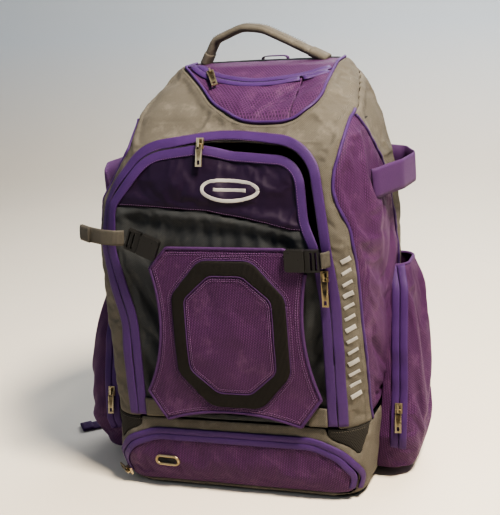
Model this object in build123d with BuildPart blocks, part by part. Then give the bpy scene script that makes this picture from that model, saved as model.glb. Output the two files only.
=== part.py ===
"""A gear backpack for bats and rackets: one STEP file for each sub-part.

Millimetres. +Z is up, -Y is the front of the bag, and the origin is the
centre of the base on the floor.
"""
import math
import os

from build123d import *

# Driving dimensions of the body
FAR = 300.0             # beyond everything
BACK = 100.0            # y of the back panel's outer face
WALL = 4.0              # padded fabric wall
SKIN = 1.6              # zip tapes, tabs and trim sewn on the outside
SEAM_GAP = 0.6          # between a flap's edge and the opening it closes
HEIGHT = 512.0          # top of the body
SHOULDER = 440.0        # above this height the front slopes back
BAND_TOP = 97.0         # top edge of the lower band
BACK_SEAM = 84.0        # y of the seam between sides and back

# Height, half width to the left and right, front y and corner radius, from the floor up.
# The soft left shoulder slumps inwards and the left of the base bulges.
BODY_SECTIONS = [
    (0.0, 158.0, 147.0, -104.0, 34.0),
    (12.0, 168.0, 153.0, -114.0, 38.0),
    (45.0, 175.0, 159.0, -120.0, 40.0),
    (80.0, 175.0, 163.0, -118.0, 44.0),
    (200.0, 177.0, 170.0, -115.0, 46.0),
    (320.0, 179.0, 175.0, -112.0, 46.0),
    (368.0, 171.0, 172.0, -105.0, 45.0),
    (400.0, 152.0, 169.0, -100.0, 44.0),
    (SHOULDER, 131.0, 160.0, -86.0, 42.0),
    (468.0, 127.0, 150.0, -56.0, 40.0),
    (492.0, 116.0, 135.0, -14.0, 36.0),
    (HEIGHT, 101.0, 116.0, 34.0, 30.0),
]

# Main flap: outline in x and z from its right foot, and the seam between its two panels
FLAP_OUTLINE = [
    (129, BAND_TOP), (129, 250), (107, 431), (0, 441), (-97, 429),
    (-149, 368), (-151, 312), (-131, 225), (-131, BAND_TOP),
]
FLAP_RADII = [0, 300, 44, 300, 60, 40, 80, 120, 0]
FLAP_SEAM_LINE = [(-300, 370), (-111, 366), (-17, 360), (89, 340), (300, 330)]
TAPE = 12.0

# Shoe compartment
SHOE_OUTLINE = [
    (140, 8), (149, 36), (130, 64), (96, 77), (-110, 77), (-146, 64), (-166, 36), (-156, 8),
]
SHOE_RADII = [6, 24, 40, 60, 60, 40, 24, 6]
SHOE_TAPE = 7.0
SHOE_GAP = 2.0          # wider than the other seams, so the door's ends swing clear
SHOE_CEILING = 88.0

# Side mesh and the gusset behind it, in y and z, and the mesh's front edge on the right in x and z
MESH_REAR = [(-36, 460), (14, 388), (46, 290), (60, BAND_TOP)]
LEFT_MESH_OUTLINE = [(-75, BAND_TOP), (-75, 430)] + MESH_REAR
RIGHT_MESH_OUTLINE = [(-FAR, BAND_TOP), (-FAR, 460)] + MESH_REAR
RIGHT_MESH_FRONT = [
    (163.4, BAND_TOP), (162, 200), (160, 300), (155, 340), (141, 368), (136, 385), (138, 408),
    (146, 440), (150, 470), (FAR, 470), (FAR, BAND_TOP),
]
GUSSET_OUTLINE = MESH_REAR[::-1] + [(BACK_SEAM, 500), (BACK_SEAM, BAND_TOP)]
SIDE_START = 100.0      # the side panels begin beyond this x

# Half-moon pocket in the top
MOON_OUTLINE = [(110, BACK_SEAM), (110, -67), (-2, -67), (-90, 40), (-90, BACK_SEAM)]
MOON_RADII = [0, 45, 100, 30, 0]
LIP_HALF_WIDTH = 78.0
LIP_FOLD = -34.0
LIP_GAP = 5.0           # the lip rises forwards off the slope, so its slanted edge keeps clear of the piping
TOP_ZIP = [(-92.0, 62.0), (10.0, -4.0), (112.0, 28.0)]
TOP_TAPE = 9.0
PIPING = 2.0
POCKET_FLOOR = 448.0

# Helmet flap, in front of the main flap
HELMET_BACK = -121.0
HELMET_THICKNESS = 3.0
RING_THICKNESS = 3.0
RING_CENTRE = (7.0, 215.0)

# Side pockets: height, front y and back y
POCKET_SECTIONS = [(14, -40, 62), (60, -50, 70), (120, -36, 73), (167, -25, 75), (237, 0, 78), (262, 15, 76)]
POCKET_ROOT = 150.0     # inside the body, cut away by its outline
POCKET_WALL = 3.0
RIGHT_POCKET_REACH = [192, 204, 207, 206, 203, 191]
LEFT_POCKET_REACH = [222, 242, 246, 242, 224, 202]

# Straps
STRAP_TOP = Vector(48, 112, 472)
STRAP_FOOT = Vector(120, 112, 30)
STRAP_WEBBING = 25.0
PAD_BOTTOM = 192.0
HANDLE_Y = 78.0
HANDLE_FOOT_Z = 513.2   # its hinge line is 3.3 higher

# Zip hardware
SLIDER_LIFT = 2.4       # from the fabric to the slider's underside
PIN_PLACE = (0.0, -1.4, 4.0)


def section_at(height):
    """Left and right half width, front y and corner radius of the body at a height."""
    for low, high in zip(BODY_SECTIONS, BODY_SECTIONS[1:]):
        if low[0] <= height <= high[0]:
            part_way = (height - low[0]) / (high[0] - low[0])
            return [a + part_way * (b - a) for a, b in zip(low[1:], high[1:])]
    raise ValueError("height outside the body")


def front_point(x, height):
    """Point on the body's front or front corner."""
    left, right, front, radius = section_at(height)
    beyond = max(0.0, abs(x) - ((left if x < 0 else right) - radius))
    return Vector(x, front + radius - math.sqrt(radius**2 - beyond**2), height)


def front_normal(x, height):
    """Outward direction at that point."""
    step = 4.0
    across = front_point(x + step, height) - front_point(x - step, height)
    upward = front_point(x, height + step) - front_point(x, height - step)
    return across.cross(upward).normalized()


def body_form(growth, drop=0.0, floor=0.0):
    """The closed body, grown sideways and with its shoulders lowered."""
    with BuildPart() as form:
        for height, left, right, front, radius in BODY_SECTIONS:
            level = max(height, floor) if height < SHOULDER else height - drop
            centre = Vector((right - left) / 2, (front + BACK) / 2, level)
            with BuildSketch(Plane(origin=centre)):
                RectangleRounded(left + right + 2 * growth, BACK - front + 2 * growth, radius + growth)
        loft(ruled=True)
    return form.part


def front_bar(outline, radii=0.0, growth=0.0, start=-50.0):
    """A bar cut to an outline in x and z that runs forward through the front wall."""
    with BuildPart() as bar:
        with BuildSketch(Plane.XZ.offset(-start)):
            with BuildLine():
                FilletPolyline(*outline, radius=radii, close=True)
            make_face()
            if growth:
                offset(amount=growth)
        extrude(amount=FAR)
    return bar.part


def side_bar(outline):
    """A bar cut to an outline in y and z that runs through both sides."""
    with BuildPart() as bar:
        with BuildSketch(Plane.YZ):
            with BuildLine():
                Polyline(*outline, close=True)
            make_face()
        extrude(amount=FAR, both=True)
    return bar.part


def block(low, high):
    """A box between two corners."""
    size = Vector(*high) - Vector(*low)
    with BuildPart() as box:
        with Locations((Vector(*high) + Vector(*low)) * 0.5):
            Box(size.X, size.Y, size.Z)
    return box.part


# ---------------------------------------------------------------- body blanks
outer_form = body_form(0.0)
inner_form = body_form(-WALL, drop=WALL, floor=WALL)
skin_form = body_form(SKIN, drop=-SKIN)

with BuildPart() as shell:
    add(outer_form)
    add(inner_form, mode=Mode.SUBTRACT)

with BuildPart() as skin:
    add(skin_form)
    add(outer_form, mode=Mode.SUBTRACT)

SHOE_START = -84.0

main_opening = front_bar(FLAP_OUTLINE, FLAP_RADII)
flap_blank = front_bar(FLAP_OUTLINE, FLAP_RADII, -SEAM_GAP)
shoe_opening = front_bar(SHOE_OUTLINE, SHOE_RADII, start=SHOE_START)
shoe_blank = front_bar(SHOE_OUTLINE, SHOE_RADII, -SHOE_GAP, SHOE_START)

with BuildPart() as vent_zone:
    for side, shift in ((-1, 8), (1, -6)):
        corners = [(122, 97), (122, 87), (146, 73), (157, 60), (168, 97)]
        with BuildSketch(Plane.XZ.offset(-SHOE_START)):
            with BuildLine():
                Polyline(*[(side * (x + shift), z) for x, z in corners], close=True)
            make_face()
        extrude(amount=FAR)


def moon_bar(growth=0.0):
    """Upright bar with the half-moon outline of the top pocket."""
    with BuildPart() as bar:
        with BuildSketch(Plane.XY.offset(POCKET_FLOOR)):
            with BuildLine():
                FilletPolyline(*MOON_OUTLINE, radius=MOON_RADII, close=True)
            make_face()
            if growth:
                offset(amount=growth)
        extrude(amount=100)
    return bar.part


def behind_zip_bar(shift=0.0):
    """Upright bar that covers everything behind the top pocket's zip."""
    with BuildPart() as bar:
        with BuildSketch(Plane.XY.offset(POCKET_FLOOR)):
            with BuildLine():
                ThreePointArc(*[(x, y + shift) for x, y in TOP_ZIP])
                Polyline((TOP_ZIP[2][0], TOP_ZIP[2][1] + shift), (112, 90), (-112, 90),
                         (TOP_ZIP[0][0], TOP_ZIP[0][1] + shift))
            make_face()
        extrude(amount=100)
    return bar.part


def lip_bar(inset):
    """Upright bar for the lip in front of the zip, from its fold line."""
    low = (-LIP_HALF_WIDTH + inset, LIP_FOLD, POCKET_FLOOR)
    high = (LIP_HALF_WIDTH - inset, 50, POCKET_FLOOR + 100)
    return block(low, high)


moon = moon_bar()
behind_zip = behind_zip_bar()
before_back_seam = block((-FAR, -FAR, 0), (FAR, BACK_SEAM - PIPING, 600))
side_zone = block((SIDE_START, -FAR, 0), (FAR, FAR, 600))
other_side_zone = block((-FAR, -FAR, 0), (-SIDE_START, FAR, 600))
left_mesh_bar = side_bar(LEFT_MESH_OUTLINE)
right_mesh_bar = side_bar(RIGHT_MESH_OUTLINE)
right_mesh_front = front_bar(RIGHT_MESH_FRONT, [0] * len(RIGHT_MESH_FRONT), start=BACK)
gusset_bar = side_bar(GUSSET_OUTLINE)

# ---------------------------------------------------------------- fixed panels
with BuildPart() as base_panel:
    add(shell.part)
    add(block((-FAR, -FAR, 0), (FAR, BACK_SEAM, WALL)), mode=Mode.INTERSECT)

with BuildPart() as back_panel:
    add(shell.part)
    add(block((-FAR, BACK_SEAM, 0), (FAR, FAR, 600)), mode=Mode.INTERSECT)

with BuildPart() as lower_band:
    add(shell.part)
    add(block((-FAR, -FAR, WALL), (FAR, BACK_SEAM, BAND_TOP)), mode=Mode.INTERSECT)
    add(shoe_opening, mode=Mode.SUBTRACT)
    add(vent_zone.part, mode=Mode.SUBTRACT)

with BuildPart() as vent_meshes:
    add(shell.part)
    add(vent_zone.part, mode=Mode.INTERSECT)

with BuildPart() as right_side_mesh:
    add(shell.part)
    add(right_mesh_bar, mode=Mode.INTERSECT)
    add(right_mesh_front, mode=Mode.INTERSECT)
    add(side_zone, mode=Mode.INTERSECT)

with BuildPart() as left_side_mesh:
    add(shell.part)
    add(left_mesh_bar, mode=Mode.INTERSECT)
    add(other_side_zone, mode=Mode.INTERSECT)

with BuildPart() as front_frame:
    add(shell.part)
    add(block((-FAR, -FAR, BAND_TOP), (FAR, BACK_SEAM, 600)), mode=Mode.INTERSECT)
    add(main_opening, mode=Mode.SUBTRACT)
    add(moon, mode=Mode.SUBTRACT)
    add(right_side_mesh.part, mode=Mode.SUBTRACT)
    add(left_side_mesh.part, mode=Mode.SUBTRACT)
    add(gusset_bar, mode=Mode.SUBTRACT)

with BuildPart() as rear_gussets:
    add(shell.part)
    add(gusset_bar, mode=Mode.INTERSECT)

with BuildPart() as shoe_ceiling:
    add(inner_form)
    add(block((-FAR, -FAR, SHOE_CEILING), (FAR, FAR, SHOE_CEILING + 3)), mode=Mode.INTERSECT)

with BuildPart() as top_pocket_floor:
    add(inner_form)
    add(block((-FAR, -FAR, POCKET_FLOOR), (FAR, FAR, POCKET_FLOOR + 2.5)), mode=Mode.INTERSECT)

# ---------------------------------------------------------------- top pocket
with BuildPart() as top_pocket_rear:
    add(shell.part)
    add(moon, mode=Mode.INTERSECT)
    add(behind_zip, mode=Mode.INTERSECT)

with BuildPart() as lip_zone:
    add(moon_bar(-PIPING))
    add(lip_bar(0.0), mode=Mode.INTERSECT)

with BuildPart() as top_pocket_panel:
    add(shell.part)
    add(moon, mode=Mode.INTERSECT)
    add(behind_zip, mode=Mode.SUBTRACT)
    add(lip_zone.part, mode=Mode.SUBTRACT)

with BuildPart() as top_pocket_lip:
    add(shell.part)
    add(moon_bar(-PIPING - LIP_GAP), mode=Mode.INTERSECT)
    add(lip_bar(SEAM_GAP), mode=Mode.INTERSECT)
    add(block((-FAR, LIP_FOLD + SEAM_GAP, POCKET_FLOOR), (FAR, FAR, 600)), mode=Mode.INTERSECT)
    add(behind_zip_bar(-SEAM_GAP), mode=Mode.SUBTRACT)

with BuildPart() as top_pocket_tape:
    add(skin.part)
    add(lip_zone.part, mode=Mode.INTERSECT)
    add(behind_zip, mode=Mode.INTERSECT)
    add(behind_zip_bar(TOP_TAPE), mode=Mode.SUBTRACT)

with BuildPart() as top_lip_tape:
    add(skin.part)
    add(moon_bar(-PIPING - LIP_GAP), mode=Mode.INTERSECT)
    add(lip_bar(SEAM_GAP), mode=Mode.INTERSECT)
    add(behind_zip_bar(-TOP_TAPE), mode=Mode.INTERSECT)
    add(behind_zip_bar(-SEAM_GAP), mode=Mode.SUBTRACT)

with BuildPart() as top_piping:
    add(skin.part)
    add(moon_bar(PIPING), mode=Mode.INTERSECT)
    add(moon_bar(-PIPING), mode=Mode.SUBTRACT)
    add(before_back_seam, mode=Mode.INTERSECT)

# ---------------------------------------------------------------- main flap
above_band = block((-FAR, -FAR, BAND_TOP + 3), (FAR, FAR, 600))
below_flap_seam = front_bar(FLAP_SEAM_LINE + [(FAR, 0), (-FAR, 0)], [0] * (len(FLAP_SEAM_LINE) + 2))

with BuildPart() as flap_lower_panel:
    add(shell.part)
    add(flap_blank, mode=Mode.INTERSECT)
    add(below_flap_seam, mode=Mode.INTERSECT)

with BuildPart() as flap_upper_panel:
    add(shell.part)
    add(flap_blank, mode=Mode.INTERSECT)
    add(below_flap_seam, mode=Mode.SUBTRACT)

with BuildPart() as flap_tape:
    add(skin.part)
    add(flap_blank, mode=Mode.INTERSECT)
    add(front_bar(FLAP_OUTLINE, FLAP_RADII, -TAPE), mode=Mode.SUBTRACT)
    add(block((-119, -FAR, 0), (117, FAR, 130)), mode=Mode.SUBTRACT)
    add(above_band, mode=Mode.INTERSECT)

with BuildPart() as main_outer_tape:
    add(skin.part)
    add(front_bar(FLAP_OUTLINE, FLAP_RADII, TAPE), mode=Mode.INTERSECT)
    add(main_opening, mode=Mode.SUBTRACT)
    add(above_band, mode=Mode.INTERSECT)

with BuildPart() as tab_zone:
    with Locations((-107, -120, 112), (105, -120, 112)):
        Box(23, 20, 23)

with BuildPart() as anchor_tabs:
    add(skin.part)
    add(tab_zone.part, mode=Mode.INTERSECT)

# ---------------------------------------------------------------- shoe door
with BuildPart() as shoe_door_panel:
    add(shell.part)
    add(shoe_blank, mode=Mode.INTERSECT)

with BuildPart() as shoe_door_tape:
    add(skin.part)
    add(shoe_blank, mode=Mode.INTERSECT)
    add(front_bar(SHOE_OUTLINE, SHOE_RADII, -SHOE_TAPE, SHOE_START), mode=Mode.SUBTRACT)
    add(block((-FAR, -FAR, 16), (FAR, FAR, BAND_TOP)), mode=Mode.INTERSECT)

with BuildPart() as shoe_outer_tape:
    add(skin.part)
    add(front_bar(SHOE_OUTLINE, SHOE_RADII, SHOE_TAPE, SHOE_START), mode=Mode.INTERSECT)
    add(shoe_opening, mode=Mode.SUBTRACT)
    add(block((-FAR, -FAR, 16), (FAR, FAR, BAND_TOP)), mode=Mode.INTERSECT)

with BuildPart() as vent_grommet:
    with BuildSketch(Plane.XZ.offset(90)):
        with Locations((-97, 41)):
            SlotOverall(34, 14)
            SlotOverall(26, 7, mode=Mode.SUBTRACT)
    extrude(amount=60)
    add(skin.part, mode=Mode.INTERSECT)

# ---------------------------------------------------------------- helmet flap
HELMET_HINGE = (0.0, HELMET_BACK, 101.0)

with BuildPart() as helmet_panel:
    with BuildSketch(Plane.XZ.offset(-HELMET_BACK)):
        with BuildLine():
            ThreePointArc((104, 292), (96, 228), (112, 136))
            Line((112, 136), (86, 101))
            ThreePointArc((86, 101), (0, 116), (-86, 101))
            Line((-86, 101), (-110, 136))
            ThreePointArc((-110, 136), (-83, 228), (-91, 295))
            Line((-91, 295), (-68, 320))
            Line((-68, 320), (80, 320))
            Line((80, 320), (104, 292))
        make_face()
        fillet(vertices(), radius=7)
    extrude(amount=HELMET_THICKNESS)


def octagon(half_width, half_height, flat_half, side_half):
    """Corners of an upright octagon round the ring's centre."""
    quarter = [(half_width, side_half), (flat_half, half_height)]
    upper = quarter + [(-x, z) for x, z in reversed(quarter)]
    centre_x, centre_z = RING_CENTRE
    return [(centre_x + x, centre_z + z) for x, z in upper + [(-x, -z) for x, z in upper]]


RING_OUTER = octagon(72, 92, 33, 48)
RING_INNER = octagon(55, 73.5, 21, 44)
RING_PLANE = Plane.XZ.offset(-HELMET_BACK + HELMET_THICKNESS)

with BuildPart() as grip_ring:
    with BuildSketch(RING_PLANE):
        with BuildLine():
            FilletPolyline(*RING_OUTER, radius=24, close=True)
        make_face()
        with BuildLine():
            FilletPolyline(*RING_INNER, radius=16, close=True)
        make_face(mode=Mode.SUBTRACT)
    extrude(amount=RING_THICKNESS)

with BuildPart() as helmet_center:
    with BuildSketch(RING_PLANE):
        with BuildLine():
            FilletPolyline(*RING_INNER, radius=16, close=True)
        make_face()
    extrude(amount=RING_THICKNESS - 1)

# ---------------------------------------------------------------- side-release buckles
BUCKLE_FACE = HELMET_BACK - HELMET_THICKNESS - 0.3
LEFT_BUCKLE = Plane(origin=(-99, BUCKLE_FACE, 327), x_dir=(-0.92, 0, 0.39), z_dir=(0, -1, 0))
RIGHT_BUCKLE = Plane(origin=(106, BUCKLE_FACE, 309), x_dir=(1, 0, 0), z_dir=(0, -1, 0))


def buckle_socket(place):
    """Female half: x runs out of its mouth, and its back is open."""
    with BuildPart(place) as socket:
        with Locations((-12, 0, 4)):
            Box(24, 26, 8)
        fillet(socket.edges().filter_by(Axis(place.origin, place.z_dir)), radius=3)
        with Locations((-8.5, 0, 2.6)):
            Box(17.01, 21, 5.2, mode=Mode.SUBTRACT)
    return socket.part


def buckle_plug(place):
    """Male half: three prongs and a two-bar ladder for the webbing."""
    with BuildPart(place) as plug:
        with Locations((8.8, 0, 4)):
            Box(16.4, 26, 6)
        with Locations((8.0, 0, 4), (13.6, 0, 4)):
            Box(2.4, 21, 6.2, mode=Mode.SUBTRACT)
        for across, width in ((-7.5, 3.6), (0, 2.4), (7.5, 3.6)):
            with Locations((-6.2, across, 3)):
                Box(13.7, width, 3)
    return plug.part


def webbing(place, path, width, thickness=1.8):
    """A strap that follows a path in the plane's x and z, centred across it."""
    side_plane = Plane(origin=place.origin, x_dir=place.x_dir, z_dir=place.y_dir * -1)
    with BuildPart() as strap:
        with BuildSketch(side_plane):
            with BuildLine():
                FilletPolyline(*path, radius=6)
            trace(line_width=thickness)
        extrude(amount=width / 2, both=True)
    return strap.part


left_socket = buckle_socket(LEFT_BUCKLE)
right_socket = buckle_socket(RIGHT_BUCKLE)
left_plug = buckle_plug(LEFT_BUCKLE)
right_plug = buckle_plug(RIGHT_BUCKLE)

LEFT_TAIL = Plane(origin=(-114.6, BUCKLE_FACE, 333.6), x_dir=(-1, 0, 0.1), z_dir=(0, -1, 0))
RIGHT_TAIL = Plane(origin=(123.4, BUCKLE_FACE, 309), x_dir=(1, 0, 0), z_dir=(0, -1, 0))
left_plug_webbing = webbing(LEFT_TAIL, [(3.4, 5), (14, 10), (30, 11), (48, 6), (62, 0)], 19)
right_plug_webbing = webbing(RIGHT_TAIL, [(0.8, 4), (6, 0), (9, -7)], 19)

# ---------------------------------------------------------------- side pockets


def side_pocket(side, reach):
    """Open-topped pocket on one side of the body."""
    with BuildPart() as pocket:
        for (height, front, back), far_x in zip(POCKET_SECTIONS, reach):
            centre = (side * (POCKET_ROOT + far_x) / 2, (front + back) / 2, height)
            with BuildSketch(Plane(origin=centre)):
                RectangleRounded(far_x - POCKET_ROOT, back - front, 20)
        loft(ruled=True)
    with BuildPart() as hollow:
        for (height, front, back), far_x in zip(POCKET_SECTIONS, reach):
            level = height + (POCKET_WALL if height < 20 else 0) + (1 if height > 260 else 0)
            centre = (side * (POCKET_ROOT + far_x) / 2, (front + back) / 2, level)
            with BuildSketch(Plane(origin=centre)):
                RectangleRounded(far_x - POCKET_ROOT - 2 * POCKET_WALL, back - front - 2 * POCKET_WALL, 17)
        loft(ruled=True)
    with BuildPart() as finished:
        add(pocket.part)
        add(hollow.part, mode=Mode.SUBTRACT)
        add(outer_form, mode=Mode.SUBTRACT)
    return finished.part


right_side_pocket = side_pocket(1, RIGHT_POCKET_REACH)
left_side_pocket = side_pocket(-1, LEFT_POCKET_REACH)

with BuildPart() as bat_loops:
    for side in (-1, 1):
        route = [(160, -60), (174, -50), (194, 0), (196, 62), (178, 94), (150, 97)]
        with BuildSketch(Plane.XY.offset(362)):
            with BuildLine():
                FilletPolyline(*[(side * x, y) for x, y in route], radius=[12, 20, 20, 10])
            trace(line_width=2)
        extrude(amount=37)
    add(outer_form, mode=Mode.SUBTRACT)

# ---------------------------------------------------------------- back and straps
with BuildPart() as back_pads:
    with BuildSketch(Plane.XZ.offset(-BACK)):
        with Locations((-72, 250), (72, 250)):
            RectangleRounded(108, 340, 20)
    extrude(amount=-8)
    rear_edges = back_pads.faces().sort_by(Axis.Y)[-1].edges()
    fillet(rear_edges, radius=4)

with BuildPart() as strap_anchors:
    with BuildSketch(Plane.XZ.offset(-BACK)):
        with Locations((0, 484)):
            RectangleRounded(150, 20, 4)
        for side in (-1, 1):
            with BuildLine():
                Polyline((side * 104, 12), (side * 136, 12), (side * 134, 32), (side * 112, 32), close=True)
            make_face()
    extrude(amount=-5)

with BuildPart() as ladder_locks:
    for side in (-1, 1):
        with BuildSketch(Plane.XZ.offset(-BACK - 5)):
            with Locations((side * STRAP_FOOT.X, 21)):
                RectangleRounded(32, 20, 3)
                with Locations((0, 5), (0, -5)):
                    Rectangle(26, 4, mode=Mode.SUBTRACT)
        extrude(amount=-4)

with BuildPart() as strap_tails:
    left_route = [(-120, 121), (-168, 127), (-232, 84), (-302, 30)]
    right_route = [(120, 114), (124, 132), (140, 152)]
    for route, radii in ((left_route, [60, 60]), (right_route, [20])):
        with BuildSketch(Plane.XY.offset(0.4)):
            with BuildLine():
                FilletPolyline(*route, radius=radii)
            trace(line_width=STRAP_WEBBING)
        extrude(amount=1.8)
    for side in (-1, 1):
        with Locations((side * STRAP_FOOT.X, 110.3, 8.4)):
            Box(STRAP_WEBBING, 1.8, 16)
        with Locations((side * STRAP_FOOT.X, 113.6, 1.3)):
            Box(STRAP_WEBBING, 8.4, 1.8)

STRAP_LEAN = STRAP_FOOT - STRAP_TOP


def strap_x(height):
    """Centre of a shoulder strap at a height, on the line between its anchors."""
    return STRAP_TOP.X + STRAP_LEAN.X * (height - STRAP_TOP.Z) / STRAP_LEAN.Z


def strap(side, widths, path, thickness):
    """A strap whose width varies with height and whose thickness follows a path in y and z."""
    with BuildPart() as front_outline:
        with BuildSketch(Plane.XZ):
            inner = [(side * (strap_x(z) - w), z) for z, w in widths]
            outer = [(side * (strap_x(z) + w), z) for z, w in reversed(widths)]
            with BuildLine():
                Polyline(*inner, *outer, close=True)
            make_face()
        extrude(amount=-FAR)
    with BuildPart() as finished:
        with BuildSketch(Plane.YZ):
            with BuildLine():
                FilletPolyline(*path, radius=40)
            trace(line_width=thickness)
        extrude(amount=FAR, both=True)
        add(front_outline.part, mode=Mode.INTERSECT)
    return finished.part


PAD_WIDTHS = [(471, 11), (455, 16), (420, 29), (380, 32), (260, 31), (215, 24), (PAD_BOTTOM, 14)]
PAD_PATH = [(117, 480), (128, 440), (140, 380), (143, 300), (135, 230), (127, 180)]
WEBBING_WIDTHS = [(PAD_BOTTOM - 0.1, 12.5), (36, 12.5)]
WEBBING_PATH = [(129, 200), (124, 130), (113.5, 30)]

left_shoulder_pad = strap(-1, PAD_WIDTHS, PAD_PATH, 11)
right_shoulder_pad = strap(1, PAD_WIDTHS, PAD_PATH, 11)
left_strap_webbing = strap(-1, WEBBING_WIDTHS, WEBBING_PATH, 2)
right_strap_webbing = strap(1, WEBBING_WIDTHS, WEBBING_PATH, 2)

with BuildPart() as hang_loop:
    with BuildSketch(Plane.XZ.offset(-BACK - 1)):
        with BuildLine():
            FilletPolyline((-8, 503), (-6, 519), (26, 519), (28, 503), radius=6)
        trace(line_width=2)
        with Locations((10, 500)):
            Rectangle(42, 6)
    extrude(amount=-8)
    with Locations((10, BACK + 0.5, 500)):
        Box(42, 1, 6)

# ---------------------------------------------------------------- handle
with BuildPart() as handle_grip:
    with BuildSketch(Plane.XZ.offset(-HANDLE_Y)):
        with BuildLine():
            FilletPolyline((-76, 512), (-58, 542), (-20, 557), (8, 553), (88, 512), radius=[14, 30, 30])
        trace(line_width=7)
    extrude(amount=11, both=True)
    with BuildSketch(Plane.YZ):
        with BuildLine():
            Polyline(
                (HANDLE_Y - 3, HANDLE_FOOT_Z), (HANDLE_Y - 11, 531), (HANDLE_Y - 11, 580),
                (HANDLE_Y + 11, 580), (HANDLE_Y + 11, 531), (HANDLE_Y + 3, HANDLE_FOOT_Z),
                close=True,
            )
        make_face()
    extrude(amount=FAR, both=True, mode=Mode.INTERSECT)

# ---------------------------------------------------------------- zip sliders


def slider_place(point, normal, hang):
    """Plane of a slider: z is outward, and the pull hangs along -y."""
    outward = Vector(*normal).normalized()
    down = Vector(*hang)
    down = (down - outward * down.dot(outward)).normalized()
    return Plane(origin=point + outward * SLIDER_LIFT, x_dir=outward.cross(down), z_dir=outward)


def zip_slider(place):
    """Slider body with a bridge that the pull's pin passes under."""
    with BuildPart(place) as slider:
        with Locations((0, 0, 1.3)):
            Box(9, 13, 2.6)
        with Locations((0, 0, 4.7)):
            Box(2.4, 10, 4.2)
        with Locations((0, 0, 4.0)):
            Box(4, 6.4, 2.8, mode=Mode.SUBTRACT)
    return slider.part


def zip_pull(place, length):
    """Flat pull with two arms and a pin."""
    with BuildPart(place) as pull:
        with Locations(PIN_PLACE):
            Cylinder(0.9, 7.2, rotation=(0, 90, 0))
        with Locations((-2.9, -4.7, 4.0), (2.9, -4.7, 4.0)):
            Box(1.4, 6.6, 1.8)
        with Locations((0, -(7.2 + length) / 2, 4.0)):
            Box(8, length - 7.2, 1.8)
        with Locations((0, -length + 5, 4.0)):
            Box(3, 5, 2, mode=Mode.SUBTRACT)
    return pull.part


def pocket_front(side, reach, height):
    """Point on a side pocket's front face."""
    for low, high, near, far in zip(POCKET_SECTIONS, POCKET_SECTIONS[1:], reach, reach[1:]):
        if low[0] <= height <= high[0]:
            part_way = (height - low[0]) / (high[0] - low[0])
            far_x = near + part_way * (far - near)
            return Vector(side * (POCKET_ROOT + 16 + far_x) / 2, low[1] + part_way * (high[1] - low[1]), height)
    raise ValueError("height outside the pocket")


DOWN = (0, 0, -1)
UPPER_POINT = front_point(-25, 438)
LOWER_POINT = front_point(124.5, 287)
SHOE_POINT = front_point(-157, 16)
TOP_POINT = Vector(-45, 14.6, 504.0)
POCKET_NORMAL = (0, -0.97, 0.24)

SLIDER_PLACES = {
    "upper": slider_place(UPPER_POINT, front_normal(-25, 434), DOWN),
    "lower": slider_place(LOWER_POINT, front_normal(124.5, 287), DOWN),
    "shoe": slider_place(SHOE_POINT, front_normal(-157, 20), (-0.6, 0.8, 0)),
    "top": slider_place(TOP_POINT, (0, -0.385, 0.923), (0.45, -0.83, -0.34)),
    "left_pocket": slider_place(pocket_front(-1, LEFT_POCKET_REACH, 96), POCKET_NORMAL, DOWN),
    "right_pocket": slider_place(pocket_front(1, RIGHT_POCKET_REACH, 96), POCKET_NORMAL, DOWN),
}
PULL_LENGTHS = {"upper": 28, "lower": 36, "shoe": 24, "top": 37, "left_pocket": 30, "right_pocket": 30}

# ---------------------------------------------------------------- files
PIECES = {
    "base_panel": base_panel.part,
    "back_panel": back_panel.part,
    "front_frame": front_frame.part,
    "lower_band": lower_band.part,
    "left_side_mesh": left_side_mesh.part,
    "right_side_mesh": right_side_mesh.part,
    "rear_gussets": rear_gussets.part,
    "top_pocket_panel": top_pocket_panel.part,
    "top_pocket_rear": top_pocket_rear.part,
    "top_pocket_floor": top_pocket_floor.part,
    "top_pocket_tape": top_pocket_tape.part,
    "top_piping": top_piping.part,
    "main_outer_tape": main_outer_tape.part,
    "vent_meshes": vent_meshes.part,
    "shoe_ceiling": shoe_ceiling.part,
    "shoe_outer_tape": shoe_outer_tape.part,
    "left_side_pocket": left_side_pocket,
    "right_side_pocket": right_side_pocket,
    "bat_loops": bat_loops.part,
    "back_pads": back_pads.part,
    "strap_anchors": strap_anchors.part,
    "ladder_locks": ladder_locks.part,
    "strap_tails": strap_tails.part,
    "hang_loop": hang_loop.part,
    "flap_upper_panel": flap_upper_panel.part,
    "flap_lower_panel": flap_lower_panel.part,
    "flap_tape": flap_tape.part,
    "anchor_tabs": anchor_tabs.part,
    "helmet_panel": helmet_panel.part,
    "grip_ring": grip_ring.part,
    "helmet_center": helmet_center.part,
    "left_socket": left_socket,
    "right_socket": right_socket,
    "left_plug": left_plug,
    "left_plug_webbing": left_plug_webbing,
    "right_plug": right_plug,
    "right_plug_webbing": right_plug_webbing,
    "shoe_door_panel": shoe_door_panel.part,
    "shoe_door_tape": shoe_door_tape.part,
    "vent_grommet": vent_grommet.part,
    "top_pocket_lip": top_pocket_lip.part,
    "top_lip_tape": top_lip_tape.part,
    "handle_grip": handle_grip.part,
    "left_shoulder_pad": left_shoulder_pad,
    "right_shoulder_pad": right_shoulder_pad,
    "left_strap_webbing": left_strap_webbing,
    "right_strap_webbing": right_strap_webbing,
}
for name, place in SLIDER_PLACES.items():
    PIECES[name + "_slider"] = zip_slider(place)
    PIECES[name + "_pull"] = zip_pull(place, PULL_LENGTHS[name])

os.makedirs("parts", exist_ok=True)
for name, piece in PIECES.items():
    piece.label = name
    export_step(piece, f"parts/{name}.step")
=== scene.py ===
"""Looks of the gear backpack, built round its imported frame. Metres, +Z up, -Y towards the front flap."""
import math

import bmesh
import bpy
from mathutils import Matrix, Vector, noise
from mathutils.bvhtree import BVHTree
from mathutils.kdtree import KDTree


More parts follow.
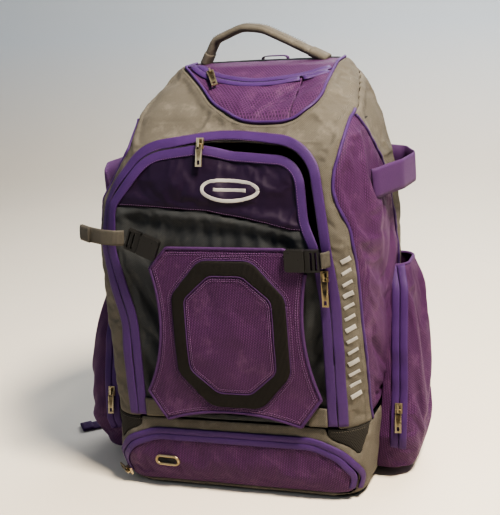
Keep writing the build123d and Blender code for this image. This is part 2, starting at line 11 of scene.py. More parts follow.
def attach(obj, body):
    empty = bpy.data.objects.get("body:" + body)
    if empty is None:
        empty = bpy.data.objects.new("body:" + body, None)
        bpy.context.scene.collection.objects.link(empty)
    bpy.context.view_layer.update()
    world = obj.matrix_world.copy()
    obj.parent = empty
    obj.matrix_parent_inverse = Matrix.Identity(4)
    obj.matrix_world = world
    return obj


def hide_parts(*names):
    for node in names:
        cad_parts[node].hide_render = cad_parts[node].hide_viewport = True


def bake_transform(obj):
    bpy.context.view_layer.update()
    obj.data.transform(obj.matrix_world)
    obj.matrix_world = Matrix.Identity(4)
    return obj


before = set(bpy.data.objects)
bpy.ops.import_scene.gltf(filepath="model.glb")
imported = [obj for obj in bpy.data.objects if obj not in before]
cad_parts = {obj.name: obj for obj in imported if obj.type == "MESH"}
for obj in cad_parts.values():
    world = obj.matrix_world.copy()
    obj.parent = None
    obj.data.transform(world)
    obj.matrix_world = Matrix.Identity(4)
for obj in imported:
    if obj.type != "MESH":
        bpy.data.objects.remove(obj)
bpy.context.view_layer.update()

scene = bpy.context.scene
MM = 0.001

# Body: height, half width to the left and right, front y and corner radius in mm, as in the CAD
SECTIONS = [
    (0, 158, 147, -104, 34), (12, 168, 153, -114, 38), (45, 175, 159, -120, 40), (80, 175, 163, -118, 44),
    (200, 177, 170, -115, 46), (320, 179, 175, -112, 46), (368, 171, 172, -105, 45),
            (400, 152, 169, -100, 44),
    (440, 131, 160, -86, 42), (468, 127, 150, -56, 40), (492, 116, 135, -14, 36), (512, 101, 116, 34, 30),
]
BACK = 0.100            # y of the back
TOP = 0.512             # height of the body
FLAP_SEAM = [(-300, 370), (-111, 366), (-17, 360), (89, 340), (300, 330)]


def section(z, side):
    """Half width on the side of a signed x, front y and corner radius of the body at a height."""
    mm = min(max(z / MM, 0.0), 512.0)
    for low, high in zip(SECTIONS, SECTIONS[1:]):
        if mm <= high[0]:
            t = (mm - low[0]) / (high[0] - low[0])
            left, right, front, radius = [(a + t * (b - a)) * MM for a, b in zip(low[1:], high[1:])]
            return left if side < 0 else right, front, radius


def flap_seam(x):
    """Height of the seam between the main flap's two panels."""
    for (x0, z0), (x1, z1) in zip(FLAP_SEAM, FLAP_SEAM[1:]):
        if x <= x1 * MM:
            return (z0 + (z1 - z0) * (x / MM - x0) / (x1 - x0)) * MM


def depth(p):
    """How far a point lies inside the body's outline at its height."""
    w, front, r = section(p.z, p.x)
    qx = abs(p.x) - (w - r)
    qy = abs(p.y - (front + BACK) / 2) - ((BACK - front) / 2 - r)
    return r - math.hypot(max(qx, 0), max(qy, 0)) - min(max(qx, qy), 0)


def front_point(x, z):
    """Point on the body's front or front corner."""
    w, front, r = section(z, x)
    beyond = min(max(0.0, abs(x) - (w - r)), r)
    return Vector((x, front + r - math.sqrt(r * r - beyond * beyond), z))


def side_point(side, y, z):
    """Point on one side of the body."""
    w, front, r = section(z, side)
    if y < front + r:
        beyond = min(front + r - y, r)
        return Vector((side * (w - r + math.sqrt(max(r * r - beyond * beyond, 0))), y, z))
    if y > BACK - r:
        beyond = min(y - BACK + r, r)
        return Vector((side * (w - r + math.sqrt(max(r * r - beyond * beyond, 0))), y, z))
    return Vector((side * w, y, z))


def top_point(x, y):
    """Point on the sloping top, at a place seen from above."""
    low, high = 0.43, TOP
    if depth(Vector((x, y, TOP - 1e-5))) > 0:
        return Vector((x, y, TOP))
    for _ in range(30):
        mid = (low + high) / 2
        if depth(Vector((x, y, mid))) > 0:
            low = mid
        else:
            high = mid
    return Vector((x, y, low))


def wrap(p):
    """Distance round the body from the middle of its front, signed as x."""
    w, front, r = section(p.z, p.x)
    ax = abs(p.x)
    if ax <= w - r and p.y < 0.04:
        s = ax
    elif p.y < front + r:
        s = w - r + r * math.atan2(ax - w + r, front + r - p.y)
    else:
        s = w - r + r * math.pi / 2 + p.y - front - r
    return math.copysign(s, p.x)


# ------------------------------------------------------------------ camera, light and floor
def look_from(eye, target, focal_px, roll, right_px, down_px):
    """Camera whose target shows right_px and down_px from the middle of a picture 515 px high."""
    data = bpy.data.cameras.new("camera")
    data.sensor_width = 36.0
    data.sensor_fit = "AUTO"
    data.lens = focal_px * 36.0 / 515.0
    data.clip_start = 0.05
    forward = (target - eye).normalized()
    right = forward.cross(Vector((0, 0, 1))).normalized()
    up = right.cross(forward)
    side = right * math.cos(roll) - up * math.sin(roll)
    top = up * math.cos(roll) + right * math.sin(roll)
    forward = (forward - side * right_px / focal_px + top * down_px / focal_px).normalized()
    side = forward.cross(top).normalized()
    top = side.cross(forward)
    camera = bpy.data.objects.new("camera", data)
    camera.matrix_world = Matrix((side, top, -forward)).transposed().to_4x4()
    camera.matrix_world.translation = eye
    scene.collection.objects.link(camera)
    scene.camera = camera


look_from(Vector((0.503, -1.346, 0.679)), Vector((0, 0, 0.25)), 1172.0, math.radians(4.8), 8.0, 17.5)


def soft_light(name, place, target, size, power, colour):
    """Square area light that faces a target."""
    data = bpy.data.lights.new(name, "AREA")
    data.shape = "SQUARE"
    data.size = size
    data.energy = power
    data.color = colour
    lamp = bpy.data.objects.new(name, data)
    lamp.location = place
    lamp.rotation_euler = (Vector(target) - Vector(place)).to_track_quat("-Z", "Y").to_euler()
    scene.collection.objects.link(lamp)


soft_light("key", (0.85, -0.50, 1.80), (0, 0, 0.25), 0.40, 74.0, (1.0, 0.89, 0.74))
soft_light("fill", (-1.4, -1.5, 1.1), (0, 0, 0.25), 1.4, 8.0, (0.78, 0.87, 1.0))
soft_light("rear", (0.3, 1.6, 1.6), (0, 0, 0.2), 1.4, 22.0, (0.92, 0.95, 1.0))
world = bpy.data.worlds.new("studio")
scene.world = world
world.use_nodes = True
world.node_tree.nodes["Background"].inputs["Color"].default_value = (0.80, 0.87, 1.0, 1)
world.node_tree.nodes["Background"].inputs["Strength"].default_value = 0.22
scene.view_settings.look = "AgX - High Contrast"


# ------------------------------------------------------------------ materials
def node(tree, kind, inputs=(), **settings):
    """Adds a shader node; inputs maps socket names or numbers to values or other nodes' sockets."""
    made = tree.nodes.new("ShaderNode" + kind)
    for key, value in settings.items():
        setattr(made, key, value)
    for key, value in dict(inputs).items():
        if isinstance(value, bpy.types.NodeSocket):
            tree.links.new(value, made.inputs[key])
        else:
            made.inputs[key].default_value = value
    return made


def maths(tree, operation, a, b=0.0, c=0.0):
    return node(tree, "Math", {0: a, 1: b, 2: c}, operation=operation).outputs[0]


def mix(tree, factor, a, b, blend="MIX"):
    made = node(tree, "Mix", {0: factor}, data_type="RGBA", blend_type=blend)
    for slot, value in ((6, a), (7, b)):
        if isinstance(value, bpy.types.NodeSocket):
            tree.links.new(value, made.inputs[slot])
        else:
            made.inputs[slot].default_value = (*value, 1) if len(value) == 3 else value
    return made.outputs[2]


def wave(tree, vector, pitch, turn=0.0):
    """Sine ribs a pitch apart across the U of a map in metres, turned by some degrees."""
    turned = node(tree, "Mapping", {"Vector": vector, "Rotation": (0, 0, math.radians(turn))}).outputs[0]
    return node(tree, "TexWave", {"Vector": turned, "Scale": 0.31416 / pitch, "Distortion": 0.0},
                bands_direction="X").outputs["Fac"]


def bricks(tree, vector, pitch, row, gap):
    """Staggered cells, 0 in a cell and 1 on the threads between."""
    return node(tree, "TexBrick", {"Vector": vector, "Scale": 1.0 / pitch, "Mortar Size": gap,
                                   "Brick Width": 1.0,
                                   "Mortar Smooth": 0.6, "Row Height": row,
                                   "Color1": (1, 1, 1, 1), "Color2": (0.72, 0.72, 0.72, 1)})


def empty_material(name):
    """A new material with its node tree and shader."""
    made = bpy.data.materials.new(name)
    made.use_nodes = True
    return made, made.node_tree, made.node_tree.nodes["Principled BSDF"]


def fabric(name, colour, dark, weave, pitch, strength, roughness=0.8, sheen=0.3, patchy=0.35, turn=0.0,
           dust=None):
    """Woven cloth: two tones by the weave, broad colour variation, dust and a bump from the same weave."""
    made, tree, skin = empty_material(name)
    coords = node(tree, "TexCoord")
    uv = coords.outputs["UV"]
    broad = node(tree, "TexNoise", {"Vector": coords.outputs["Object"], "Scale": 9.0, "Detail": 4.0,
                                    "Roughness": 0.6}).outputs["Fac"]
    fine = node(tree, "TexNoise", {"Vector": coords.outputs["Object"], "Scale": 420.0,
                                   "Detail": 2.0}).outputs["Fac"]
    if weave == "twill":
        ribs = wave(tree, uv, pitch, 45.0)
        cross = wave(tree, uv, pitch * 0.8, -20.0)
        height = maths(tree, "MULTIPLY_ADD", cross, 0.35, maths(tree, "MULTIPLY", ribs, 0.65))
    elif weave == "honeycomb":
        cells = node(tree, "Mapping", {"Vector": uv, "Rotation": (0, 0, math.radians(90.0))}).outputs[0]
        cells = bricks(tree, cells, pitch, 0.62, 0.20)
        thread = wave(tree, uv, pitch / 5, turn)
        height = maths(tree, "MULTIPLY_ADD", thread, 0.10, maths(tree, "SUBTRACT", 1.0, cells.outputs["Fac"]))
    elif weave == "mesh":
        cells = bricks(tree, uv, pitch, 0.75, 0.24)
        height = cells.outputs["Fac"]
    elif weave == "rib":
        ribs = wave(tree, uv, pitch, turn)
        cross = wave(tree, uv, pitch * 0.6, turn + 90)
        height = maths(tree, "MULTIPLY_ADD", cross, 0.2, maths(tree, "MULTIPLY", ribs, 0.8))
    else:
        ribs = wave(tree, uv, pitch, turn)
        cross = wave(tree, uv, pitch, turn + 90)
        height = maths(tree, "MULTIPLY", ribs, cross)
    height = maths(tree, "MULTIPLY_ADD", fine, 0.3, height)
    tone = mix(tree, height, dark, colour)
    shade = maths(tree, "MULTIPLY_ADD", broad, patchy * 2, 1.0 - patchy)
    tone = mix(tree, 1.0, tone, node(tree, "CombineColor", {0: shade, 1: shade, 2: shade}).outputs[0],
               "MULTIPLY")
    if dust:
        specks = node(tree, "TexNoise", {"Vector": coords.outputs["Object"], "Scale": 34.0, "Detail": 9.0,
                                         "Roughness": 0.75}).outputs["Fac"]
        worn = node(tree, "MapRange", {0: specks, 1: 0.52, 2: 0.78, 3: 0.0, 4: 0.55}).outputs[0]
        tone = mix(tree, worn, tone, dust)
    tree.links.new(tone, skin.inputs["Base Color"])
    rough = node(tree, "MapRange", {0: broad, 1: 0.3, 2: 0.7, 3: roughness - 0.08,
                                    4: roughness + 0.08}).outputs[0]
    tree.links.new(rough, skin.inputs["Roughness"])
    skin.inputs["Sheen Weight"].default_value = sheen
    skin.inputs["Sheen Roughness"].default_value = 0.45
    skin.inputs["Sheen Tint"].default_value = (*[min(1.0, c * 2.2 + 0.12) for c in colour], 1)
    skin.inputs["Specular IOR Level"].default_value = 0.3
    bump = node(tree, "Bump", {"Strength": 1.0, "Distance": strength, "Height": height})
    tree.links.new(bump.outputs[0], skin.inputs["Normal"])
    return made


def hard(name, colour, worn, roughness, metallic, grain):
    """Moulded plastic or plated metal with fine grain, smudges and worn edges."""
    made, tree, skin = empty_material(name)
    coords = node(tree, "TexCoord").outputs["Object"]
    smudge = node(tree, "TexNoise", {"Vector": coords, "Scale": 120.0, "Detail": 6.0,
                                     "Roughness": 0.7}).outputs["Fac"]
    fine = node(tree, "TexNoise", {"Vector": coords, "Scale": 1600.0, "Detail": 2.0}).outputs["Fac"]
    edges = node(tree, "NewGeometry").outputs["Pointiness"]
    rim = node(tree, "MapRange", {0: edges, 1: 0.51, 2: 0.58, 3: 0.0, 4: 0.8}).outputs[0]
    spots = node(tree, "MapRange", {0: smudge, 1: 0.45, 2: 0.7, 3: 0.0, 4: 0.35}).outputs[0]
    tone = mix(tree, maths(tree, "MAXIMUM", rim, spots), colour, worn)
    tree.links.new(tone, skin.inputs["Base Color"])
    rough = node(tree, "MapRange", {0: smudge, 1: 0.3, 2: 0.7, 3: roughness - 0.1,
                                    4: roughness + 0.12}).outputs[0]
    tree.links.new(rough, skin.inputs["Roughness"])
    skin.inputs["Metallic"].default_value = metallic
    skin.inputs["Specular IOR Level"].default_value = 0.3
    bump = node(tree, "Bump", {"Strength": 1.0, "Distance": grain, "Height": fine})
    tree.links.new(bump.outputs[0], skin.inputs["Normal"])
    return made


DUST = (0.26, 0.235, 0.20)
MATERIALS = {
    "grey_twill": fabric("grey_twill", (0.135, 0.123, 0.102), (0.058, 0.053, 0.045), "twill", 1.5 * MM,
                         0.25 * MM,
                         sheen=0.05, patchy=0.24, dust=DUST),
    "grey_lower": fabric("grey_lower", (0.060, 0.064, 0.067), (0.022, 0.024, 0.027), "twill", 1.5 * MM,
                         0.25 * MM,
                         sheen=0.05, patchy=0.25, dust=(0.105, 0.105, 0.098)),
    "purple_mesh": fabric("purple_mesh", (0.112, 0.038, 0.122), (0.026, 0.008, 0.034), "honeycomb", 3.2 * MM,
                          0.45 * MM, 0.55, 0.12, 0.25, 0.0, (0.19, 0.10, 0.18)),
    "purple_nylon": fabric("purple_nylon", (0.022, 0.008, 0.034), (0.011, 0.004, 0.018), "plain", 0.9 * MM,
                           0.10 * MM, 0.45, 0.10, 0.2),
    "purple_tape": fabric("purple_tape", (0.082, 0.036, 0.150), (0.033, 0.014, 0.066), "rib", 0.9 * MM,
                          0.12 * MM,
                          0.5, 0.10, 0.18),
    "purple_webbing": fabric("purple_webbing", (0.088, 0.036, 0.125), (0.035, 0.013, 0.052), "rib", 1.4 * MM,
                             0.25 * MM, 0.6, 0.12, 0.15, 90.0),
    "grey_webbing": fabric("grey_webbing", (0.108, 0.100, 0.086), (0.034, 0.031, 0.027), "rib", 1.5 * MM,
                           0.3 * MM,
                           0.7, 0.08, 0.18, 90.0, (0.19, 0.175, 0.15)),
    "black_rib": fabric("black_rib", (0.020, 0.018, 0.016), (0.004, 0.003, 0.003), "rib", 1.5 * MM, 0.35 * MM,
                        0.75, 0.06, 0.2, 0.0),
    "black_mesh": fabric("black_mesh", (0.045, 0.042, 0.038), (0.003, 0.003, 0.003), "mesh", 2.6 * MM,
                         0.9 * MM,
                         0.8, 0.08, 0.15),
    "lining": fabric("lining", (0.030, 0.030, 0.034), (0.012, 0.012, 0.014), "plain", 1.0 * MM, 0.12 * MM,
                     0.75, 0.08, 0.2),
    "black_plastic": hard("black_plastic", (0.006, 0.006, 0.007), (0.028, 0.028, 0.028), 0.34, 0.0,
                          0.03 * MM),
    "antique_brass": hard("antique_brass", (0.17, 0.13, 0.075), (0.58, 0.49, 0.32), 0.32, 0.9, 0.03 * MM),
    "dark_metal": hard("dark_metal", (0.025, 0.023, 0.021), (0.34, 0.28, 0.17), 0.32, 0.75, 0.03 * MM),
    "thread": fabric("thread", (0.20, 0.11, 0.22), (0.09, 0.05, 0.11), "rib", 0.5 * MM, 0.05 * MM),
    "grey_thread": fabric("grey_thread", (0.17, 0.155, 0.13), (0.08, 0.073, 0.062), "rib", 0.5 * MM,
                          0.05 * MM),
    "pale_print": fabric("pale_print", (0.40, 0.39, 0.37), (0.28, 0.27, 0.26), "plain", 1.0 * MM, 0.08 * MM,
                         0.5, 0.05),
}


# ------------------------------------------------------------------ outlines and surfaces
def rounded(points, radii, step=0.004, closed=False):
    """Polyline of points a step apart with each corner rounded, in the plane of its points."""
    pts = [Vector((p[0], p[1])) * MM for p in points]
    n = len(pts)
    out = []
    for i, p in enumerate(pts):
        r = radii[i] * MM if isinstance(radii, (list, tuple)) else radii * MM
        if r <= 0 or (not closed and i in (0, n - 1)):
            out.append(p)
            continue
        a, b = (pts[i - 1] - p), (pts[(i + 1) % n] - p)
        la, lb = a.length, b.length
        a, b = a / la, b / lb
        half = math.acos(max(-1, min(1, a.dot(b)))) / 2
        back = min(r / math.tan(half), la * 0.5, lb * 0.5)
        r = back * math.tan(half)
        centre = p + (a + b).normalized() * (r / math.sin(half))
        start, end = p + a * back, p + b * back
        sweep = math.pi - 2 * half
        turns = max(2, int(r * sweep / step) + 1)
        u, v = start - centre, end - centre
        for k in range(turns + 1):
            t = k / turns
            s = math.sin(sweep)
            out.append(centre + (u * math.sin((1 - t) * sweep) + v * math.sin(t * sweep)) / s)
    if closed:
        out.append(out[0])
    return even(out, step)


def distances(points):
    """How far along a polyline each of its points lies."""
    lengths = [0.0]
    for a, b in zip(points, points[1:]):
        lengths.append(lengths[-1] + (b - a).length)
    return lengths


def even(points, step):
    """The same polyline with points spaced evenly, its ends kept."""
    lengths = distances(points)
    count = max(2, round(lengths[-1] / step))
    out, k = [], 0
    for i in range(count + 1):
        want = lengths[-1] * i / count
        while k < len(lengths) - 2 and lengths[k + 1] < want:
            k += 1
        span = lengths[k + 1] - lengths[k]
        t = 0.0 if span < 1e-9 else (want - lengths[k]) / span
        out.append(points[k].lerp(points[k + 1], min(max(t, 0), 1)))
    return out


def pushed(path, by, closed=False):
    """A plane polyline moved sideways, to the left of its direction when positive."""
    out = []
    for i, p in enumerate(path):
        a = path[i - 1] if i else (path[-2] if closed else path[0])
        b = path[i + 1] if i < len(path) - 1 else (path[1] if closed else path[-1])
        along = (b - a).normalized()
        out.append(p + Vector((-along.y, along.x)) * by)
    return out


FLAP = rounded([(129, 97), (129, 250), (107, 431), (0, 441), (-97, 429), (-149, 368), (-151, 312),
                (-131, 225),
                (-131, 97)], [0, 300, 44, 300, 60, 40, 80, 120, 0])
SHOE = rounded([(140, 8), (149, 36), (130, 64), (96, 77), (-110, 77), (-146, 64), (-166, 36), (-156, 8)],
               [6, 24, 40, 60, 60, 40, 24, 6])
MOON = rounded([(110, 84), (110, -67), (-2, -67), (-90, 40), (-90, 84)], [0, 45, 100, 30, 0])
OUTLINE_TREE = KDTree(len(FLAP))
for index, spot in enumerate(FLAP):
    OUTLINE_TREE.insert((spot.x, 0, spot.y), index)
OUTLINE_TREE.balance()


def bell(x, centre, width):
    return math.exp(-((x - centre) / width) ** 2)


def ramp(x, low, high):
    t = min(max((x - low) / (high - low), 0.0), 1.0)
    return t * t * (3 - 2 * t)


# Soft folds pressed into the body: start and end in mm round the body and up, half width and depth
FOLDS = [
    ((-95, 448), (95, 446), 13, 3.5), ((-60, 470), (60, 468), 12, -1.5),
    ((-150, 400), (-172, 340), 12, 3.0), ((150, 390), (165, 300), 12, 2.0),
    ((235, 400), (215, 250), 9, 2.5), ((255, 330), (235, 180), 8, 2.0), ((205, 300), (240, 210), 7, 1.6),
    ((220, 170), (260, 110), 9, 2.0), ((-235, 400), (-215, 250), 9, 2.5), ((-255, 330), (-235, 180), 8, 2.0),
    ((-60, 60), (60, 50), 16, -1.5), ((-20, 30), (60, 22), 6, 1.2), ((90, 62), (120, 20), 6, 1.0),
]
# The same on the lower front panel of the main flap
FLAP_FOLDS = [
    ((-138, 346), (-60, 338), 12, 5.5), ((-60, 336), (50, 332), 12, 4.0), ((50, 326), (118, 306), 11, 5.0),
    ((-120, 300), (-100, 200), 9, 3.5), ((-112, 240), (-118, 150), 8, 3.0), ((105, 290), (122, 210), 9, 3.5),
    ((118, 250), (104, 160), 9, 3.0), ((92, 150), (124, 180), 8, 3.5), ((-124, 180), (-100, 125), 8, 2.5),
    ((-80, 108), (80, 106), 9, 3.0), ((-90, 357), (0, 351), 6, -2.5), ((0, 350), (96, 332), 6, -2.0),
]


def pressed(folds, s, z):
    """Depth that a list of folds presses in at a place."""
    total = 0.0
    for (s0, z0), (s1, z1), width, deep in folds:
        a, b = Vector((s0 * MM, z0 * MM)), Vector((s1 * MM, z1 * MM))
        p, d = Vector((s, z)) - a, b - a
        t = min(max(p.dot(d) / d.dot(d), 0.0), 1.0)
        gap = (p - d * t).length / (width * MM)
        if gap < 3:
            total += deep * MM * math.exp(-gap * gap) * (1 - 0.6 * abs(2 * t - 1) ** 2)
    return total


def crumple(p, scale, size):
    """Small soft wrinkles: ridged noise, the same at each run."""
    q = p * scale
    ridge = 1 - abs(noise.noise(q + Vector((3.1, 7.7, 1.3))) * 2)
    return size * (ridge - 0.7 + 0.5 * noise.noise(q * 2.3))


def zip_gape(p):
    """Where the main zip is undone, between its sliders, the flap's edge has dropped inwards."""
    spot, index, gap = OUTLINE_TREE.find((p.x, 0, p.z))
    t = index / (len(FLAP) - 1)
    amount = ramp(t, 0.235, 0.30) * (1 - ramp(t, 0.47, 0.535))
    if amount <= 0 or gap > 0.09 or p.z < 0.25:
        return Vector()
    inward = Vector((0.02 - spot.x, 0, 0.31 - spot.z)).normalized()
    return (inward * 0.012 + Vector((0, 0.004, 0))) * amount * math.exp(-(gap / 0.042) ** 2)


def settle(p, part):
    """Where a point of the bag's fabric ends up once it has sagged and creased."""
    s = wrap(p)
    out = Vector((p.x, p.y - 0.02, 0)) if p.z < 0.46 else Vector((p.x * 0.4, p.y - 0.06, 0.12))
    out.normalize()
    if part == "flap":
        edge = OUTLINE_TREE.find((p.x, 0, p.z))[2]
        inside = ramp(edge, 0.006, 0.030)
        move = -pressed(FLAP_FOLDS, p.x, p.z) * inside if p.z < flap_seam(p.x) + 0.004 else 0.0
        if p.z >= flap_seam(p.x):
            move += 0.0022 * inside
        move += crumple(p, 22, 0.0016) * inside
        return p + out * move + zip_gape(p)
    move = -pressed(FOLDS, s, p.z)
    move += crumple(p, 14, 0.0016)
    if part == "calm":
        move *= 0.35
    return p + out * move


# ------------------------------------------------------------------ mesh building
def to_mesh(bm, name):
    """A mesh made from a bmesh, which is used up."""
    mesh = bpy.data.meshes.new(name)
    bm.to_mesh(mesh)
    bm.free()
    return mesh


def from_mesh(mesh):
    """A bmesh made from a mesh, which is used up."""
    bm = bmesh.new()
    bm.from_mesh(mesh)
    bpy.data.meshes.remove(mesh)
    return bm


def publish(name, mesh, body, material, nodes=(), smooth=True, subdivide=0, uv=None, blend=None):
    """Makes a finished piece: links it, maps it in metres, gives it its cloth and its body."""
    piece = bpy.data.objects.new(name, mesh)
    scene.collection.objects.link(piece)
    if subdivide:
        extra = piece.modifiers.new("subdivide", "SUBSURF")
        extra.levels = extra.render_levels = subdivide
        bake(piece)
    mesh = piece.data
    if uv:
        layer = mesh.uv_layers.new(name="UVMap") if not mesh.uv_layers else mesh.uv_layers[0]
        flat = [0.0] * (2 * len(mesh.loops))
        for loop in mesh.loops:
            flat[2 * loop.index], flat[2 * loop.index + 1] = uv(mesh.vertices[loop.vertex_index].co)
        layer.data.foreach_set("uv", flat)
    if smooth:
        mesh.polygons.foreach_set("use_smooth", [True] * len(mesh.polygons))
    mesh.materials.clear()
    mesh.materials.append(MATERIALS[material])
    if blend:
        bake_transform(piece)
    else:
        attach(piece, body)
    if nodes:
        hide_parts(*nodes)
    return piece


def bake(piece):
    """Applies a piece's modifiers."""
    graph = bpy.context.evaluated_depsgraph_get()
    graph.update()
    made = bpy.data.meshes.new_from_object(piece.evaluated_get(graph))
    piece.modifiers.clear()
    old = piece.data
    piece.data = made
    bpy.data.meshes.remove(old)


def smooth_out(bm):
    """Takes the roughest steps out of a mesh."""
    bmesh.ops.smooth_vert(bm, verts=bm.verts, factor=0.5, use_axis_x=True, use_axis_y=True, use_axis_z=True)


def remeshed(mesh, voxel):
    """A mesh rebuilt from even small quads."""
    holder = bpy.data.objects.new("holder", mesh)
    scene.collection.objects.link(holder)
    grid = holder.modifiers.new("grid", "REMESH")
    grid.mode = "VOXEL"
    grid.voxel_size = voxel
    bake(holder)
    made = holder.data
    bpy.data.objects.remove(holder)
    return made


def join_nodes(names):
    """One bmesh from the meshes of some CAD nodes."""
    bm = bmesh.new()
    for name in names:
        bm.from_mesh(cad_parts[name].data)
    return bm


def uv_wrap(p):
    return wrap(p), p.z


def uv_top(p):
    return p.x, p.y - p.z * 0.6


def uv_front(p):
    return p.x, p.z


def heart(z):
    """The point inside the bag that a place at a height looks away from."""
    return Vector((0, 0.02, min(max(z, 0.06), 0.42)))


def is_outer(p):
    """Whether a point lies on the body's outer face, its top or its base."""
    return depth(p) < 0.0004 or p.z > TOP - 0.0002 or p.z < 0.0002


def sheet_from(names, voxel=0.0036, reach=0.010):
    """The outer skin of some CAD panels as an even sheet whose rim turns in at the seams."""
    bm = join_nodes(names)
    outer = bmesh.new()
    for face in bm.faces:
        if all(is_outer(v.co) for v in face.verts):
            made = [outer.verts.new(v.co) for v in face.verts]
            outer.faces.new(made)
    tree = BVHTree.FromBMesh(outer)
    outer.free()
    for v in bm.verts:
        if not is_outer(v.co):
            middle = heart(v.co.z)
            v.co += (middle - v.co).normalized() * reach
    mesh = to_mesh(bm, "thick")
    mesh = remeshed(mesh, voxel)
    bm = from_mesh(mesh)
    gone = [v for v in bm.verts if tree.find_nearest(v.co)[3] > 0.0032]
    bmesh.ops.delete(bm, geom=gone, context="VERTS")
    loose = [v for v in bm.verts if not v.link_faces]
    bmesh.ops.delete(bm, geom=loose, context="VERTS")
    smooth_out(bm)
    return bm


def rim_gap(bm):
    """Distance of each vertex from the sheet's open edge."""
    bm.verts.index_update()
    rim = [v for v in bm.verts if v.is_boundary]
    if not rim:
        return {v.index: 1.0 for v in bm.verts}
    tree = KDTree(len(rim))
    for i, v in enumerate(rim):
        tree.insert(v.co, i)
    tree.balance()
    return {v.index: tree.find(v.co)[2] for v in bm.verts}


def relax(bm, frames, slack, pull, cap, held=0.011):
    """Lets a sheet held at its rim crease under its own slack: Cloth, then a cap on the movement."""
    bm.verts.index_update()
    gaps = rim_gap(bm)
    mesh = bpy.data.meshes.new("sheet")
    bm.to_mesh(mesh)
    cloth_piece = bpy.data.objects.new("sheet", mesh)
    scene.collection.objects.link(cloth_piece)
    group = cloth_piece.vertex_groups.new(name="held")
    for i, gap in gaps.items():
        group.add([i], 1.0 - ramp(gap, held * 0.55, held), "REPLACE")
    cloth = cloth_piece.modifiers.new("cloth", "CLOTH").settings
    cloth.quality = 4
    cloth.mass = 0.25
    cloth.tension_stiffness = cloth.compression_stiffness = 12
    cloth.shear_stiffness = 6
    cloth.bending_stiffness = 0.9
    cloth.air_damping = 4
    cloth.vertex_group_mass = "held"
    cloth.shrink_min = cloth.shrink_max = -slack
    cloth.use_pressure = True
    cloth.uniform_pressure_force = pull
    cloth.effector_weights.gravity = 0.15
    for number in range(1, frames + 1):
        scene.frame_set(number)
    graph = bpy.context.evaluated_depsgraph_get()
    settled = cloth_piece.evaluated_get(graph).data
    bm.verts.ensure_lookup_table()
    for v in bm.verts:
        move = settled.vertices[v.index].co - v.co
        if move.length > cap:
            move *= cap / move.length
        v.co += move
    scene.frame_set(1)
    bpy.data.objects.remove(cloth_piece)
    bpy.data.meshes.remove(mesh)


def widen(bm, by, reach=0.009):
    """Pushes a sheet's rim outwards along the sheet, so that neighbours meet in their seam."""
    bm.verts.index_update()
    bm.normal_update()
    rim = [v for v in bm.verts if v.is_boundary]
    if not rim:
        return
    tree = KDTree(len(rim))
    ways = []
    for i, v in enumerate(rim):
        tree.insert(v.co, i)
        inner = [e.other_vert(v) for e in v.link_edges if not e.other_vert(v).is_boundary]
        if not inner:
            ways.append(Vector())
            continue
        second = [e.other_vert(n) for n in inner for e in n.link_edges if not e.other_vert(n).is_boundary]
        base = sum((n.co for n in inner + second), Vector()) / len(inner + second)
        n = sum((q.normal for q in second or inner), Vector()).normalized()
        way = v.co - base
        way -= n * way.dot(n)
        ways.append(way.normalized())
    tree.balance()
    for v in bm.verts:
        spot, i, gap = tree.find(v.co)
        if gap < reach:
            v.co += ways[i] * by * (1 - gap / reach)


def pucker(bm, amount, pitch=0.011, reach=0.016):
    """Small gathers where a sheet is sewn along its rim."""
    gaps = rim_gap(bm)
    bm.normal_update()
    for v in bm.verts:
        gap = gaps[v.index]
        if gap < reach * 2:
            swell = math.sin(min(gap / reach, 1.0) * math.pi) * 0.5 + 0.5 * bell(gap, reach * 0.6,
                                                                                 reach * 0.5)
            waves = noise.noise(v.co / pitch) + 0.4
            v.co += v.normal * amount * swell * waves


SKINS = {"bag": [], "flap": []}


def cling(path, normals, group, lift, reach=0.009):
    """Lays a path on the finished panels of a group, smoothed a little along its length."""
    shifts = []
    for p, n in zip(path, normals):
        best = None
        for tree in SKINS[group]:
            spot, _, _, gap = tree.ray_cast(p + n * reach, -n, reach * 2)
            if spot is not None and (best is None or gap < best):
                best = gap
        shifts.append(0.0 if best is None else reach - best)
    out = []
    for k, (p, n) in enumerate(zip(path, normals)):
        near = shifts[max(0, k - 2):k + 3]
        out.append(p + n * (max(sum(near) / len(near), shifts[k]) + lift))
    return out, normals


def panel(name, names, body, material, part="bag", uv=uv_wrap, slack=0.0, pull=0.0, cap=0.006, gathers=0.0009,
          voxel=0.0036, thick=0.0022, frames=16):
    """A sewn fabric panel in place of its CAD solids."""
    bm = sheet_from(names, voxel)
    widen(bm, 0.0014)
    if slack or pull:
        relax(bm, frames, slack, pull, cap)
    pucker(bm, gathers)
    for v in bm.verts:
        v.co = settle(v.co, part)
    mesh = to_mesh(bm, name)
    piece = bpy.data.objects.new(name, mesh)
    scene.collection.objects.link(piece)
    shell = piece.modifiers.new("thickness", "SOLIDIFY")
    shell.thickness = thick
    shell.offset = -1 if outward(mesh) else 1
    fine = piece.modifiers.new("fine", "SUBSURF")
    fine.levels = fine.render_levels = 1
    bake(piece)
    mesh = piece.data
    bpy.data.objects.remove(piece)
    group = "flap" if part == "flap" else "bag"
    SKINS[group].append(BVHTree.FromPolygons([v.co for v in mesh.vertices],
                                             [p.vertices for p in mesh.polygons]))
    return publish(name, mesh, body, material, names, uv=uv)


def outward(mesh):
    """Whether a sheet's faces look away from the middle of the bag."""
    total = 0.0
    for face in mesh.polygons:
        total += face.normal.dot(face.center - heart(face.center.z)) * face.area
    return total > 0


